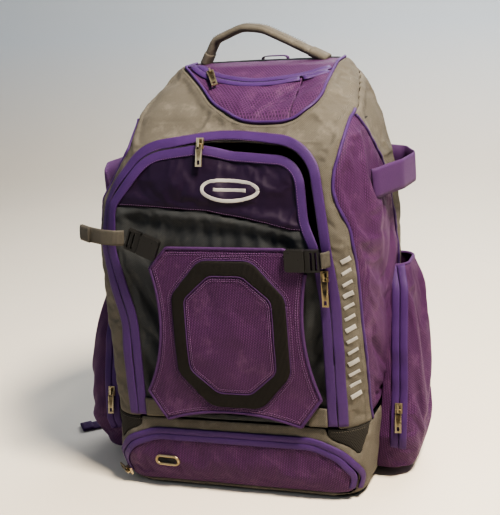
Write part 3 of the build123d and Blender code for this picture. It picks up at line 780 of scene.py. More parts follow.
def loft(name, rows, closed_rows=False, closed_cols=False):
    """Mesh through rows of points; UVs in metres along and across."""
    bm = bmesh.new()
    layer = bm.loops.layers.uv.new("UVMap")
    made = [[bm.verts.new(p) for p in row] for row in rows]
    across = [0.0]
    middle = rows[len(rows) // 2]
    for a, b in zip(middle, middle[1:] + middle[:1]):
        across.append(across[-1] + (b - a).length)
    along = [0.0]
    for a, b in zip(rows, rows[1:] + rows[:1]):
        along.append(along[-1] + (b[0] - a[0]).length)
    row_count = len(made) if closed_rows else len(made) - 1
    col_count = len(made[0]) if closed_cols else len(made[0]) - 1
    for i in range(row_count):
        for j in range(col_count):
            a, b = made[i], made[(i + 1) % len(made)]
            k = (j + 1) % len(made[0])
            try:
                face = bm.faces.new((a[j], a[k], b[k], b[j]))
            except ValueError:
                continue
            for loop, (u, v) in zip(face.loops, ((j, i), (j + 1, i), (j + 1, i + 1), (j, i + 1))):
                loop[layer].uv = (across[u], along[v])
    if closed_cols and not closed_rows:
        for row in (made[0], made[-1]):
            try:
                bm.faces.new(row)
            except ValueError:
                pass
    bmesh.ops.recalc_face_normals(bm, faces=bm.faces)
    mesh = to_mesh(bm, name)
    return mesh


def frames_along(path, normals, closed=False):
    """Position, along, across and out at each point of a path on a surface."""
    out = []
    for i, (p, n) in enumerate(zip(path, normals)):
        a = path[i - 1] if i else (path[-2] if closed else path[0])
        b = path[i + 1] if i < len(path) - 1 else (path[1] if closed else path[-1])
        along = (b - a).normalized()
        across = along.cross(n).normalized()
        out.append((p, along, across, across.cross(along)))
    return out


def sweep(name, path, normals, profile, closed=False, twist=None):
    """Sweeps a closed profile of (across, out) points along a path on a surface."""
    rows = []
    for i, (p, along, across, out) in enumerate(frames_along(path, normals, closed)):
        scale = twist(i / (len(path) - 1)) if twist else 1.0
        rows.append([p + across * (a * scale) + out * h for a, h in profile])
    if closed:
        rows.pop()
    return loft(name, rows, closed_rows=closed, closed_cols=True)


HEM = 0.0003            # rolled edge of woven tape
SHOULDER_WEBBING = 0.0250
FLOOR_WEBBING = 0.0248
LOOP_WEBBING = 0.0365
BUCKLE_WEBBING = 0.019
POCKET_TAPE = 0.0092    # the top pocket's zip
DOOR_TAPE = 0.0085
MARK_LINE = 0.0045


def tape_profile(width, thick, crown=0.0004, rolled=0.0):
    """Flat woven tape with softly rounded edges."""
    half = width / 2
    top = []
    for k in range(9):
        t = -1 + k / 4
        lift = crown * (1 - t * t) + rolled * (bell(t, 1, 0.25) + bell(t, -1, 0.25))
        top.append((half * t, thick * (1 - 0.35 * t ** 8) + lift))
    return top + [(half * 0.98, 0.0), (0.0, 0.0), (-half * 0.98, 0.0)]


def round_profile(radius, lift=0.0, sides=10):
    return [(radius * math.cos(2 * math.pi * k / sides), lift + radius * math.sin(2 * math.pi * k / sides))
            for k in range(sides)]


def on_front(path, lift=0.0, part="bag"):
    """Drops a plane path onto the front and gives the outward directions there."""
    points, normals = [], []
    for p in path:
        z = min(max(p.y, 0.001), TOP - 0.001)
        a = settle(front_point(p.x, z), part)
        across = front_point(p.x + 0.003, z) - front_point(p.x - 0.003, z)
        upward = front_point(p.x, min(z + 0.003, TOP)) - front_point(p.x, max(z - 0.003, 0))
        n = across.cross(upward).normalized()
        points.append(a + n * lift)
        normals.append(n)
    return points, normals


def on_top(path, lift=0.0):
    """Drops a plane path (x, y) onto the sloping top."""
    points, normals = [], []
    for p in path:
        a = top_point(p.x, p.y)
        across = top_point(p.x + 0.003, p.y) - top_point(p.x - 0.003, p.y)
        back = top_point(p.x, p.y + 0.003) - top_point(p.x, p.y - 0.003)
        n = across.cross(back).normalized()
        points.append(settle(a, "bag") + n * lift)
        normals.append(n)
    return points, normals


def on_side(side, path, lift=0.0):
    """Drops a plane path (y, z) onto a side."""
    points, normals = [], []
    for p in path:
        a = side_point(side, p.x, p.y)
        along = side_point(side, p.x + 0.003, p.y) - side_point(side, p.x - 0.003, p.y)
        upward = side_point(side, p.x, p.y + 0.003) - side_point(side, p.x, p.y - 0.003)
        n = along.cross(upward).normalized() * side
        points.append(settle(a, "bag") + n * lift)
        normals.append(n)
    return points, normals


def stitches(bm, path, normals, pitch=0.0032, size=0.00042, shift=0.0):
    """Adds a row of raised stitches along a path to a bmesh."""
    line = frames_along(path, normals)
    lengths = distances(path)
    k = 0
    for number in range(int(lengths[-1] / pitch)):
        want = (number + 0.5) * pitch
        while k < len(lengths) - 2 and lengths[k + 1] < want:
            k += 1
        p, along, across, out = line[k]
        centre = p.lerp(path[k + 1], (want - lengths[k]) / max(lengths[k + 1] - lengths[k],
                                                               1e-9)) + across * shift
        ends = [(-0.36, 0.35, -0.4), (-0.18, 1.0, 0.5), (0.18, 1.0, 0.5), (0.36, 0.35, -0.4)]
        rings = []
        for t, wide, high in ends:
            ring = []
            for turn in range(5):
                angle = 2 * math.pi * turn / 5
                ring.append(bm.verts.new(centre + along * (t * pitch) + across
                                         * (size * wide * math.cos(angle))
                                         + out * (size * (high + wide * 0.7 * math.sin(angle)))))
            rings.append(ring)
        for a, b in zip(rings, rings[1:]):
            for turn in range(5):
                bm.faces.new((a[turn], a[(turn + 1) % 5], b[(turn + 1) % 5], b[turn]))
        bm.faces.new(rings[0][::-1])
        bm.faces.new(rings[-1])


def sew(name, rows, body, material="thread", pitch=0.0032, size=0.00042):
    """One piece of all the stitch rows (path, normals, shift) that ride on a body."""
    bm = bmesh.new()
    for path, normals, shift in rows:
        stitches(bm, path, normals, pitch, size, shift)
    mesh = to_mesh(bm, name)
    return publish(name, mesh, body, material, uv=uv_front)


# ------------------------------------------------------------------ the bag's sewn panels
panel("frame_panel", ["front_frame"], "bag", "grey_twill", slack=0.018, pull=0.4, cap=0.004)
panel("lower_band_panel", ["lower_band"], "bag", "grey_twill", part="calm", voxel=0.0032)
for side in ("left", "right"):
    panel(side + "_mesh_panel", [side + "_side_mesh"], "bag", "purple_mesh", slack=0.03, pull=0.2, cap=0.006)
panel("gusset_panels", ["rear_gussets"], "bag", "grey_twill", slack=0.015, cap=0.004)
panel("moon_rear", ["top_pocket_rear"], "bag", "purple_mesh", uv=uv_top, part="calm", voxel=0.003)
panel("flap_lower", ["flap_lower_panel"], "main_flap", "grey_lower", part="flap", slack=0.035, pull=-0.3,
      cap=0.006)
panel("flap_upper", ["flap_upper_panel"], "main_flap", "purple_nylon", part="flap", slack=0.02, pull=0.6,
      cap=0.004)
panel("shoe_door_cover", ["shoe_door_panel"], "shoe_door", "purple_mesh", part="calm", voxel=0.0032,
      slack=0.02,
      pull=0.4, cap=0.004)
panel("back_lining", ["back_panel"], "bag", "lining", part="calm", gathers=0.0005)
panel("base_cover", ["base_panel"], "bag", "lining", part="calm", gathers=0.0)
panel("vent_panels", ["vent_meshes"], "bag", "black_mesh", part="calm", voxel=0.003)


def moon_front(x):
    """y of the half-moon's outline."""
    found = [a.y + (b.y - a.y) * (x - a.x) / (b.x - a.x) for a, b in zip(MOON, MOON[1:])
             if min(a.x, b.x) <= x <= max(a.x, b.x) and abs(b.x - a.x) > 1e-7]
    return min(found)


def moon_zip(x):
    """y of the top pocket's zip."""
    return 0.12961 - math.sqrt(0.13435 ** 2 - (x - 0.0241) ** 2)


def moon_settle(p):
    """The half-moon panel dips behind its piping and creases towards the right."""
    inside = ramp(p.y - moon_front(p.x), 0.0, 0.018) * ramp(moon_zip(p.x) - p.y, 0.0, 0.012)
    crease = 0.0
    for (x0, y0, x1, y1, width, deep) in ((40, -58, 92, 10, 5, 2.6), (60, -50, 104, 8, 4, 2.0),
                                          (20, -56, 70, -14, 5, 1.6), (-78, 34, -44, -8, 7, 2.4),
                                          (-60, 26, -20, -20, 6, 1.6), (78, -34, 104, -4, 4, 1.8)):
        crease += pressed([((x0, y0), (x1, y1), width, deep)], p.x, p.y)
    return p + Vector((0, -0.35, 0.94)) * (0.0016 - crease + crumple(p, 30, 0.0012)) * inside


def grid_piece(name, rows, body, material, thick=0.002, uv=uv_top, nodes=(), blend=None,
               subdivide=1):
    """A sewn piece through rows of points, with thickness."""
    holder = bpy.data.objects.new("holder", loft(name, rows))
    scene.collection.objects.link(holder)
    shell = holder.modifiers.new("thickness", "SOLIDIFY")
    shell.thickness = thick
    shell.offset = -1 if outward(holder.data) else 1
    bake(holder)
    mesh = holder.data
    bpy.data.objects.remove(holder)
    return publish(name, mesh, body, material, nodes, subdivide=subdivide, uv=uv,
                   blend=blend)


def moon_rows(x0, x1, columns, count=26):
    """Rows of the half-moon's front panel between two places across it."""
    rows = []
    for i in range(count + 1):
        row = []
        for j in range(columns + 1):
            x = x0 + (x1 - x0) * j / columns
            front, zip_y = moon_front(x) - 0.001, moon_zip(x) - 0.001
            row.append(moon_settle(top_point(x, front + (zip_y - front) * i / count)))
        rows.append(row)
    return rows


grid_piece("moon_lip", moon_rows(-0.078, 0.078, 52), "top_lip", "purple_mesh", nodes=["top_pocket_lip"],
           blend=("bag", "top_lip", (0, -0.044, 0.4808), (0, -0.024, 0.4808)))
for word, x0, x1 in (("left", -0.0895, -0.078), ("right", 0.078, 0.1095)):
    grid_piece("moon_" + word, moon_rows(x0, x1, 9), "bag", "purple_mesh",
               nodes=["top_pocket_panel"] if word == "left" else [])


# ------------------------------------------------------------------ zip tapes, piping and seams
def above(path, low):
    return [p for p in path if p.y >= low]


def merged(meshes):
    bm = bmesh.new()
    for mesh in meshes:
        bm.from_mesh(mesh)
        bpy.data.meshes.remove(mesh)
    made = to_mesh(bm, "merged")
    return made


def teeth(path, normals, shift, pitch=0.0014, size=0.0011):
    """Coil of a zip along a tape's edge."""
    bm = bmesh.new()
    stitches(bm, path, normals, pitch, size, shift)
    made = to_mesh(bm, "teeth")
    return made


MAIN = above(FLAP, 0.100)
outer_path, outer_out = on_front(pushed(MAIN, -0.0060), 0.0003)
inner_path, inner_out = on_front(pushed(MAIN, 0.0060), 0.0003, "flap")
outer_line = on_front(MAIN, 0.0008)
inner_line = on_front(pushed(MAIN, 0.0006), 0.0008, "flap")
publish("outer_zip_tape", sweep("outer_zip_tape", outer_path, outer_out,
                                tape_profile(0.0125, 0.0014, 0.0007, 0.0004)),
        "bag", "purple_tape", ["main_outer_tape"])
publish("flap_zip_tape", sweep("flap_zip_tape", inner_path, inner_out,
                               tape_profile(0.0122, 0.0014, 0.0007, 0.0004)),
        "main_flap", "purple_tape", ["flap_tape"])
publish("outer_coil", teeth(*outer_line, 0.0), "bag", "black_plastic", uv=uv_front)
publish("flap_coil", teeth(*inner_line, 0.0), "main_flap", "black_plastic", uv=uv_front)

DOOR = above(SHOE, 0.014)
door_out, door_out_n = on_front(pushed(DOOR, -0.0036), 0.0003, "calm")
door_in, door_in_n = on_front(pushed(DOOR, 0.0046), 0.0003, "calm")
publish("shoe_outer_zip", sweep("shoe_outer_zip", door_out, door_out_n,
                                tape_profile(DOOR_TAPE, 0.0016, 0.0010, HEM)),
        "bag", "purple_tape", ["shoe_outer_tape"])
publish("shoe_door_zip", sweep("shoe_door_zip", door_in, door_in_n,
                               tape_profile(DOOR_TAPE, 0.0014, 0.0008, HEM)),
        "shoe_door", "purple_tape", ["shoe_door_tape"])


def arc(a, b, c, step=0.004):
    """Arc through three plane points in mm."""
    a, b, c = (Vector(p) * MM for p in (a, b, c))
    d = 2 * (a.x * (b.y - c.y) + b.x * (c.y - a.y) + c.x * (a.y - b.y))
    centre = Vector(((a.dot(a) * (b.y - c.y) + b.dot(b) * (c.y - a.y) + c.dot(c) * (a.y - b.y)) / d,
                     (a.dot(a) * (c.x - b.x) + b.dot(b) * (a.x - c.x) + c.dot(c) * (b.x - a.x)) / d))
    r = (a - centre).length
    start = math.atan2(a.y - centre.y, a.x - centre.x)
    mid = math.atan2(b.y - centre.y, b.x - centre.x)
    end = math.atan2(c.y - centre.y, c.x - centre.x)
    turn = (end - start) % (2 * math.pi)
    if (mid - start) % (2 * math.pi) > turn:
        turn -= 2 * math.pi
    count = max(3, int(abs(turn) * r / step))
    return [centre + Vector((math.cos(start + turn * k / count), math.sin(start + turn * k / count))) * r
            for k in range(count + 1)]


TOP_ZIP = arc((-92, 62), (10, -4), (112, 28))
zip_rear, zip_rear_n = on_top([p + Vector((0, 0.0050)) for p in TOP_ZIP if -0.087 < p.x < 0.107], 0.0003)
zip_lip, zip_lip_n = on_top([p - Vector((0, 0.0052)) for p in TOP_ZIP if abs(p.x) < 0.077], 0.0003)
ends = [[p - Vector((0, 0.0052)) for p in TOP_ZIP if low < p.x < high]
        for low, high in ((-0.088, -0.077), (0.077, 0.107))]
publish("top_rear_zip", sweep("top_rear_zip", zip_rear, zip_rear_n,
                              tape_profile(POCKET_TAPE, 0.0013, 0.0006)),
        "bag", "purple_tape", ["top_pocket_tape"])
publish("top_lip_zip", sweep("top_lip_zip", zip_lip, zip_lip_n,
                             tape_profile(POCKET_TAPE, 0.0014, 0.0010, HEM)),
        "top_lip", "purple_tape", ["top_lip_tape"])
publish("top_zip_ends", merged([sweep("end", *on_top(e, 0.0003),
                                      tape_profile(POCKET_TAPE, 0.0014, 0.0010, HEM))
                                for e in ends]), "bag", "purple_tape")
groove = on_top([p for p in TOP_ZIP if -0.086 < p.x < 0.105], 0.0006)
publish("top_coil", teeth(*groove, 0.0, 0.0014, 0.0009), "bag", "black_plastic", uv=uv_front)

piping_path, piping_out = on_top([p for p in MOON if p.y < 0.0815], 0.0012)
publish("moon_piping", sweep("moon_piping", piping_path, piping_out, round_profile(0.0019, 0.0)),
        "bag", "purple_tape", ["top_piping"])

seam_left = rounded([(-75, 99), (-75, 430), (-36, 460)], [0, 12, 0])
seam_right = rounded([(163.4, 99), (162, 200), (160, 300), (155, 340), (141, 368), (136, 385), (138, 408),
                      (146, 440),
                      (149, 466)], [0, 100, 60, 40, 20, 20, 30, 30, 0])
seam_rear = rounded([(-36, 460), (14, 388), (46, 290), (60, 99)], [0, 60, 60, 0])
for side, word in ((-1, "left"), (1, "right")):
    front_seam, front_n = on_side(-1, seam_left, 0.0) if side < 0 else on_front(seam_right, 0.0)
    rear_seam, rear_n = on_side(side, seam_rear, 0.0)
    front_seam, front_n = cling(front_seam, front_n, "bag", 0.0002)
    rear_seam, rear_n = cling(rear_seam, rear_n, "bag", 0.0002)
    publish(word + "_side_piping", merged([sweep("a", front_seam, front_n, round_profile(0.0021)),
                                           sweep("b", rear_seam, rear_n, round_profile(0.0019))]),
            "bag", "purple_tape")

rows = []
for offset in (-0.0108, -0.0018):
    path, out = on_front(pushed(MAIN, offset), 0.0016)
    rows.append((path, out, 0.0))
sew("outer_tape_stitches", rows, "bag", "thread", 0.0030, 0.00032)
rows = []
for offset in (0.0108, 0.0022):
    path, out = on_front(pushed(MAIN, offset), 0.0016, "flap")
    rows.append((path, out, 0.0))
sew("flap_tape_stitches", rows, "main_flap", "thread", 0.0030, 0.00032)
seam = [Vector((x * MM, flap_seam(x * MM) + 0.0028)) for x in range(-134, 110, 4)]
path, out = cling(*on_front(seam, 0.0, "flap"), "flap", 0.0003)
sew("flap_seam_stitches", [(path, out, 0.0)], "main_flap", "thread", 0.003, 0.0003)
rows = [(*on_front(pushed(DOOR, -0.0066), 0.0016, "calm"), 0.0)]
for side in (-1, 1):
    line = even([Vector(p) * MM for p in [(64, 100), (50, 290), (18, 391)]], 0.004)
    rows.append((*cling(*on_side(side, line), "bag", 0.0002), 0.0))
rows.append((*cling(*on_side(-1, even([Vector((-0.079, 0.1)), Vector((-0.079, 0.428))], 0.004)), "bag",
                    0.0002), 0.0))
rows.append((*cling(*on_front([p - Vector((0.0045, 0)) for p in seam_right]), "bag", 0.0002), 0.0))
around = [p for p in pushed(MOON, 0.0055) if p.y < 0.075]
rows.append((*on_top(around, 0.0006), 0.0))
band = [even([Vector((x * MM, 0.0935)) for x in ends], 0.004) for ends in ((-168, -121), (119, 158))]
for line in band:
    rows.append((*cling(*on_front(line, 0.0, "calm"), "bag", 0.0002), 0.0))
sew("seam_stitches", rows, "bag", "grey_thread", 0.0032, 0.0003)
sew("shoe_door_stitches", [(*on_front(pushed(DOOR, 0.0078), 0.0014, "calm"), 0.0)], "shoe_door", "thread",
    0.003, 0.0003)


# ------------------------------------------------------------------ helmet flap
def helmet_settle(p):
    """The helmet flap is stuffed a little and has soft dents."""
    swell = max(0.0, 1 - (p.x / 0.112) ** 2) * max(0.0, 1 - ((p.z - 0.205) / 0.112) ** 2)
    low = bell(p.z, 0.105, 0.02) * 0.003
    dent = 0.0020 * bell(p.x, 0.040, 0.018) * bell(p.z, 0.235, 0.020) + 0.0016 * bell(p.x, -0.035,
                                                                                      0.02) * bell(
        p.z, 0.245, 0.018) + 0.0015 * bell(p.x + (p.z - 0.2) * 0.4, 0.01, 0.012) * bell(p.z, 0.255, 0.03)
    return p + Vector((0, -0.0085 * swell ** 0.8 - low + dent * swell + crumple(p, 26, 0.0008) * swell, 0))


def soft_solid(name, nodes, body, material, voxel, move=None, uv=uv_front, pressure=0.0, cap=0.004, frames=14,
               gathers=0.0, blend=None, smooth_steps=2, subdivide=1):
    """A soft closed piece from CAD solids: remeshed, swollen by Cloth where it has pressure, then shaped."""
    bm = join_nodes(nodes)
    mesh = to_mesh(bm, "soft")
    mesh = remeshed(mesh, voxel)
    bm = from_mesh(mesh)
    for _ in range(smooth_steps):
        smooth_out(bm)
    if pressure:
        swell(bm, pressure, cap, frames)
    bm.normal_update()
    for v in bm.verts:
        if gathers:
            v.co += v.normal * gathers * (noise.noise(v.co * 90) + 0.5 * noise.noise(v.co * 210))
        if move:
            v.co = move(v.co)
    mesh = to_mesh(bm, name)
    piece = publish(name, mesh, body, material, nodes, uv=uv, subdivide=subdivide,
                    blend=blend)
    return piece


def swell(bm, pressure, cap, frames):
    """Cloth under inner pressure, with a cap on how far a point may move."""
    bm.verts.index_update()
    mesh = bpy.data.meshes.new("pillow")
    bm.to_mesh(mesh)
    pillow = bpy.data.objects.new("pillow", mesh)
    scene.collection.objects.link(pillow)
    cloth = pillow.modifiers.new("cloth", "CLOTH").settings
    cloth.quality = 4
    cloth.mass = 0.3
    cloth.tension_stiffness = cloth.compression_stiffness = 15
    cloth.bending_stiffness = 0.5
    cloth.use_pressure = True
    cloth.uniform_pressure_force = pressure
    cloth.effector_weights.gravity = 0.0
    for number in range(1, frames + 1):
        scene.frame_set(number)
    settled = pillow.evaluated_get(bpy.context.evaluated_depsgraph_get()).data
    bm.verts.ensure_lookup_table()
    for v in bm.verts:
        move = settled.vertices[v.index].co - v.co
        if move.length > cap:
            move *= cap / move.length
        v.co += move
    scene.frame_set(1)
    bpy.data.objects.remove(pillow)
    bpy.data.meshes.remove(mesh)


HELMET_FACE = -0.124
soft_solid("helmet_cover", ["helmet_panel"], "helmet_flap", "purple_mesh", 0.0017, helmet_settle,
           gathers=0.0004,
           subdivide=0, smooth_steps=3)
soft_solid("helmet_ring", ["grip_ring"], "helmet_flap", "black_rib", 0.0016, helmet_settle, gathers=0.0003,
           subdivide=0, smooth_steps=3)
soft_solid("helmet_middle", ["helmet_center"], "helmet_flap", "purple_mesh", 0.0016, helmet_settle,
           gathers=0.0003,
           subdivide=0, smooth_steps=2)


def on_helmet(path, lift=0.0):
    """Drops a plane path onto the helmet flap's face."""
    return [helmet_settle(Vector((p.x, HELMET_FACE - lift, p.y)))
            for p in path], [Vector((0, -1, 0))] * len(path)


def octagon(half_width, half_height, flat_half, side_half):
    quarter = [(half_width, side_half), (flat_half, half_height)]
    upper = quarter + [(-x, z) for x, z in reversed(quarter)]
    return [(7 + x, 215 + z) for x, z in upper + [(-x, -z) for x, z in upper]]


HELMET = (arc((104, 292), (96, 228), (112, 136)) + arc((86, 101), (0, 116), (-86, 101))
          + arc((-110, 136), (-83, 228), (-91, 295)) + [Vector((-0.068, 0.320)), Vector((0.080, 0.320))])
HELMET = even(HELMET + [HELMET[0]], 0.003)
ring_outer = rounded(octagon(72, 92, 33, 48), 24, 0.003, closed=True)
ring_inner = rounded(octagon(55, 73.5, 21, 44), 16, 0.003, closed=True)
edge_path, edge_out = on_helmet(HELMET, -0.0012)
publish("helmet_binding", sweep("helmet_binding", edge_path[:-1], edge_out[:-1], round_profile(0.0022),
                                closed=False),
        "helmet_flap", "purple_webbing")
rows = []
for offset in (0.0045, 0.0068):
    rows.append((*on_helmet(pushed(HELMET, -offset, True), 0.0004), 0.0))
for offset in (0.0022, 0.0046):
    rows.append((*on_helmet(pushed(ring_outer, -offset, True), 0.0004), 0.0))
rows.append((*on_helmet(pushed(ring_inner, 0.0030, True), 0.0024), 0.0))
rows.append((*on_helmet(pushed(ring_inner, 0.0052, True), 0.0024), 0.0))
sew("helmet_stitches", rows, "helmet_flap", "thread", 0.0030, 0.0004)
inner_edge = on_helmet(ring_inner, 0.0019)
outer_edge = on_helmet(ring_outer, 0.0004)
publish("ring_cord", merged([sweep("a", *outer_edge, round_profile(0.0009), closed=False),
                             sweep("b", *inner_edge, round_profile(0.0010), closed=False)]),
        "helmet_flap", "purple_webbing")

# ------------------------------------------------------------------ small trim on the front
tabs = []
for side, inner in ((-1, 0.0955), (1, 0.0935)):
    rows = []
    for i in range(9):
        z = 0.1002 + 0.0235 * i / 8
        rows.append([on_front([Vector((side * (inner + 0.0235 * j / 8), z))], 0.0016 + 0.0005 * bell(j, 4, 4),
                              "flap")[0][0]
                     for j in range(9)])
    tabs.append(loft("tab", rows))
tab_mesh = merged(tabs)
tab_piece = publish("corner_tabs", tab_mesh, "main_flap", "grey_twill", ["anchor_tabs"])
thick = tab_piece.modifiers.new("thickness", "SOLIDIFY")
thick.thickness = 0.0016
thick.offset = 1

mark = [Vector((0.012 + 0.034 * math.cos(2 * math.pi * k / 72),
                0.388 + 0.0135 * math.sin(2 * math.pi * k / 72)))
        for k in range(73)]
mark_path, mark_out = cling(*on_front(mark, 0.0, "flap"), "flap", 0.0001)
bar = even([Vector((-0.008, 0.388)), Vector((0.032, 0.388))], 0.002)
bar_path, bar_out = cling(*on_front(bar, 0.0, "flap"), "flap", 0.0001)
publish("plain_mark", merged([sweep("mark", mark_path, mark_out, tape_profile(MARK_LINE, 0.0006, 0.0001)),
                              sweep("bar", bar_path, bar_out, tape_profile(MARK_LINE, 0.0006, 0.0001))]),
        "main_flap", "pale_print")
bars = []
for k in range(13):
    z = 0.136 + k * 0.0138
    x = 0.1500 - 0.010 * (z - 0.136)
    line = even([Vector((x - 0.0054, z)), Vector((x + 0.0054, z + 0.0050))], 0.0012)
    path, out = cling(*on_front(line), "bag", 0.0001)
    bars.append(sweep("bar", path, out, tape_profile(0.0042 if k % 3 else 0.0058, 0.0006, 0.0001)))
publish("slanted_bars", merged(bars), "bag", "pale_print")


# ------------------------------------------------------------------ side pockets
POCKETS = [(14, -40, 62), (60, -50, 70), (120, -36, 73), (167, -25, 75), (237, 0, 78), (262, 15, 76)]
REACH = {"right": [192, 204, 207, 206, 203, 191], "left": [222, 242, 246, 242, 224, 202]}


def pocket_plan(side, z):
    """Front y, back y and reach of a side pocket at a height, eased between the stated heights."""
    mm = min(max(z / MM, 14.0), 262.0)
    for (low, high, near, far) in zip(POCKETS, POCKETS[1:], REACH[side], REACH[side][1:]):
        if mm <= high[0]:
            t = (mm - low[0]) / (high[0] - low[0])
            values = [low[1] + t * (high[1] - low[1]), low[2] + t * (high[2] - low[2]),
                      near + t * (far - near)]
            return [v * MM for v in values]


def pocket_row(side, z, count=64):
    """Plan outline of a pocket from its front root, round the outside, to its rear root."""
    front, back, far = pocket_plan(side, z)
    sign = -1 if side == "left" else 1
    r = 0.020
    start = abs(side_point(sign, front, max(z, 0.002)).x) - 0.001
    finish = abs(side_point(sign, back, max(z, 0.002)).x) - 0.001
    path = [Vector((start, front)), Vector((far - r, front))]
    path += [Vector((far - r + r * math.sin(a), front + r - r * math.cos(a))) for a in
             [math.pi / 2 * k / 8 for k in range(1, 9)]]
    path += [Vector((far, back - r))]
    path += [Vector((far - r + r * math.cos(a), back - r + r * math.sin(a))) for a in
             [math.pi / 2 * k / 8 for k in range(1, 9)]]
    path += [Vector((finish, back))]
    line = even(path, (sum((b - a).length for a, b in zip(path, path[1:]))) / count)
    return [Vector((sign * p.x, p.y, z)) for p in line]


def pocket_settle(p, side):
    """A side pocket hangs a little and has upright folds near its ends."""
    sign = -1 if side == "left" else 1
    front, back, far = pocket_plan(side, p.z)
    centre = Vector((sign * (far - 0.03), (front + back) / 2, p.z))
    out = (p - centre)
    out.z = 0
    out.normalize()
    root = ramp(abs(p.x), 0.168, 0.182)
    height = ramp(p.z, 0.02, 0.05) * (1 - 0.5 * ramp(p.z, 0.24, 0.262))
    fold = 0.0
    for (y0, z0, y1, z1, width, deep) in ((-30, 150, -12, 70, 8, 3.5), (10, 230, 30, 150, 9, 3.0),
                                          (40, 120, 10, 50, 9, 3.0), (60, 220, 66, 120, 8, 2.5),
                                          (-40, 95, -20, 40, 6, 2.5), (-10, 200, -22, 150, 6, 2.0)):
        fold += pressed([((y0, z0), (y1, z1), width, deep)], p.y, p.z)
    move = -fold + crumple(p + Vector((0, 0, sign)), 20, 0.0022)
    slump = -0.0025 * bell(p.z, 0.25, 0.03) + 0.0015 * bell(p.z, 0.07, 0.04)
    return p + out * (move + slump) * root * height


def pocket_line(side, lift):
    """The zip's line up the pocket's front face, with outward directions."""
    sign = -1 if side == "left" else 1
    points, outs = [], []
    for k in range(60):
        z = 0.046 + 0.215 * k / 59
        front, back, far = pocket_plan(side, z)
        up_front = pocket_plan(side, min(z + 0.004, 0.262))[0]
        slope = (up_front - front) / 0.004 if z < 0.258 else 0.6
        n = Vector((0, -1, slope)).normalized()
        x = sign * (0.166 + far) / 2
        p = pocket_settle(Vector((x, front, z)), side)
        points.append(p + n * lift)
        outs.append(n)
    return points, outs


for side, sign in (("left", -1), ("right", 1)):
    rows = []
    levels = [0.0145 + 0.2465 * k / 84 for k in range(85)]
    base = pocket_row(side, 0.0145)
    middle = sum(base, Vector()) / len(base)
    rows.append([p.lerp(Vector((sign * 0.160, p.y, p.z)), 0.96) for p in base])
    rows.append([p.lerp(Vector((sign * 0.160, p.y, p.z)), 0.5) for p in base])
    for z in levels:
        rows.append([pocket_settle(p, side) for p in pocket_row(side, z)])
    mesh = loft("pocket", rows)
    bm = bmesh.new()
    bm.from_mesh(mesh)
    bmesh.ops.recalc_face_normals(bm, faces=bm.faces)
    relax(bm, 14, 0.03, 0.15, 0.006, 0.012)
    bm.to_mesh(mesh)
    bm.free()
    holder = bpy.data.objects.new("holder", mesh)
    scene.collection.objects.link(holder)
    shell = holder.modifiers.new("thickness", "SOLIDIFY")
    shell.thickness = 0.0018
    shell.offset = 0
    bake(holder)
    mesh = holder.data
    bpy.data.objects.remove(holder)
    publish(side + "_pocket", mesh, "bag", "purple_mesh", [side + "_side_pocket"], subdivide=1)
    line, out = pocket_line(side, 0.0006)
    strips = []
    for shift in (-0.0052, 0.0052):
        moved = [p + across * shift for p, (q, along, across, o) in zip(line, frames_along(line, out))]
        strips.append(sweep("strip", moved, out, tape_profile(0.0100, 0.0013, 0.0008, HEM)))
    publish(side + "_pocket_zip", merged(strips), "bag", "purple_tape")
    publish(side + "_pocket_coil", teeth(line, out, 0.0, 0.0014, 0.0009), "bag", "black_plastic",
            uv=uv_front)
    sew(side + "_pocket_stitches", [([p + o * 0.0012 for p, o in zip(line, out)], out, s)
                                    for s in (-0.0092, 0.0092)],
        "bag", "thread", 0.003, 0.0003)
    rim = [pocket_settle(p, side) for p in pocket_row(side, 0.2612)]
    publish(side + "_pocket_rim", sweep("rim", rim, [Vector((0, 0, 1))] * len(rim), round_profile(0.0022)),
            "bag", "purple_webbing")

# ------------------------------------------------------------------ bat loops
loops = []
for sign in (-1, 1):
    plan = rounded([(160, -60), (174, -50), (194, 0), (196, 62), (178, 94), (150, 97)],
                   [0, 12, 20, 20, 10, 0], 0.004)
    inside = [p for p in plan if depth(Vector((p.x, p.y, 0.38))) < 0.0015]
    count = len(inside) - 1
    path = [Vector((sign * p.x, p.y, 0.3805 + 0.0020 * math.sin(k / count * math.pi * 2)
                    - 0.0015 * math.sin(k / count * math.pi))) for k, p in enumerate(inside)]
    outs = []
    for k, p in enumerate(path):
        along = (path[min(k + 1, count)] - path[max(k - 1, 0)]).normalized()
        outs.append((along.cross(Vector((0, 0, 1))) * sign).normalized())
    loops.append(sweep("loop", path, outs, tape_profile(LOOP_WEBBING, 0.0017, 0.0003, HEM)))
publish("bat_webbing", merged(loops), "bag", "purple_webbing", ["bat_loops"])

# ------------------------------------------------------------------ back, straps and handle


def pad_dimple(p):
    """Channels sewn across the back pads."""
    t = (p.z - 0.115) / 0.062
    near = abs(t - round(t)) * 0.062
    groove = math.exp(-(near / 0.005) ** 2) if 0.10 < p.z < 0.40 else 0.0
    return p - Vector((0, 0.0032 * groove * ramp(p.y, 0.102, 0.106), 0))


soft_solid("back_cushions", ["back_pads"], "bag", "black_mesh", 0.0034, pad_dimple, pressure=1.2, cap=0.0025,
           frames=12)
for side, sign in (("left", -1), ("right", 1)):
    soft_solid(side + "_shoulder_cushion", [side + "_shoulder_pad"], side + "_strap", "black_mesh", 0.0032,
               pressure=1.5, cap=0.0022, gathers=0.0005, frames=12)


def strap_x(mm):
    return 48 + 72 * (mm - 472) / (30 - 472)


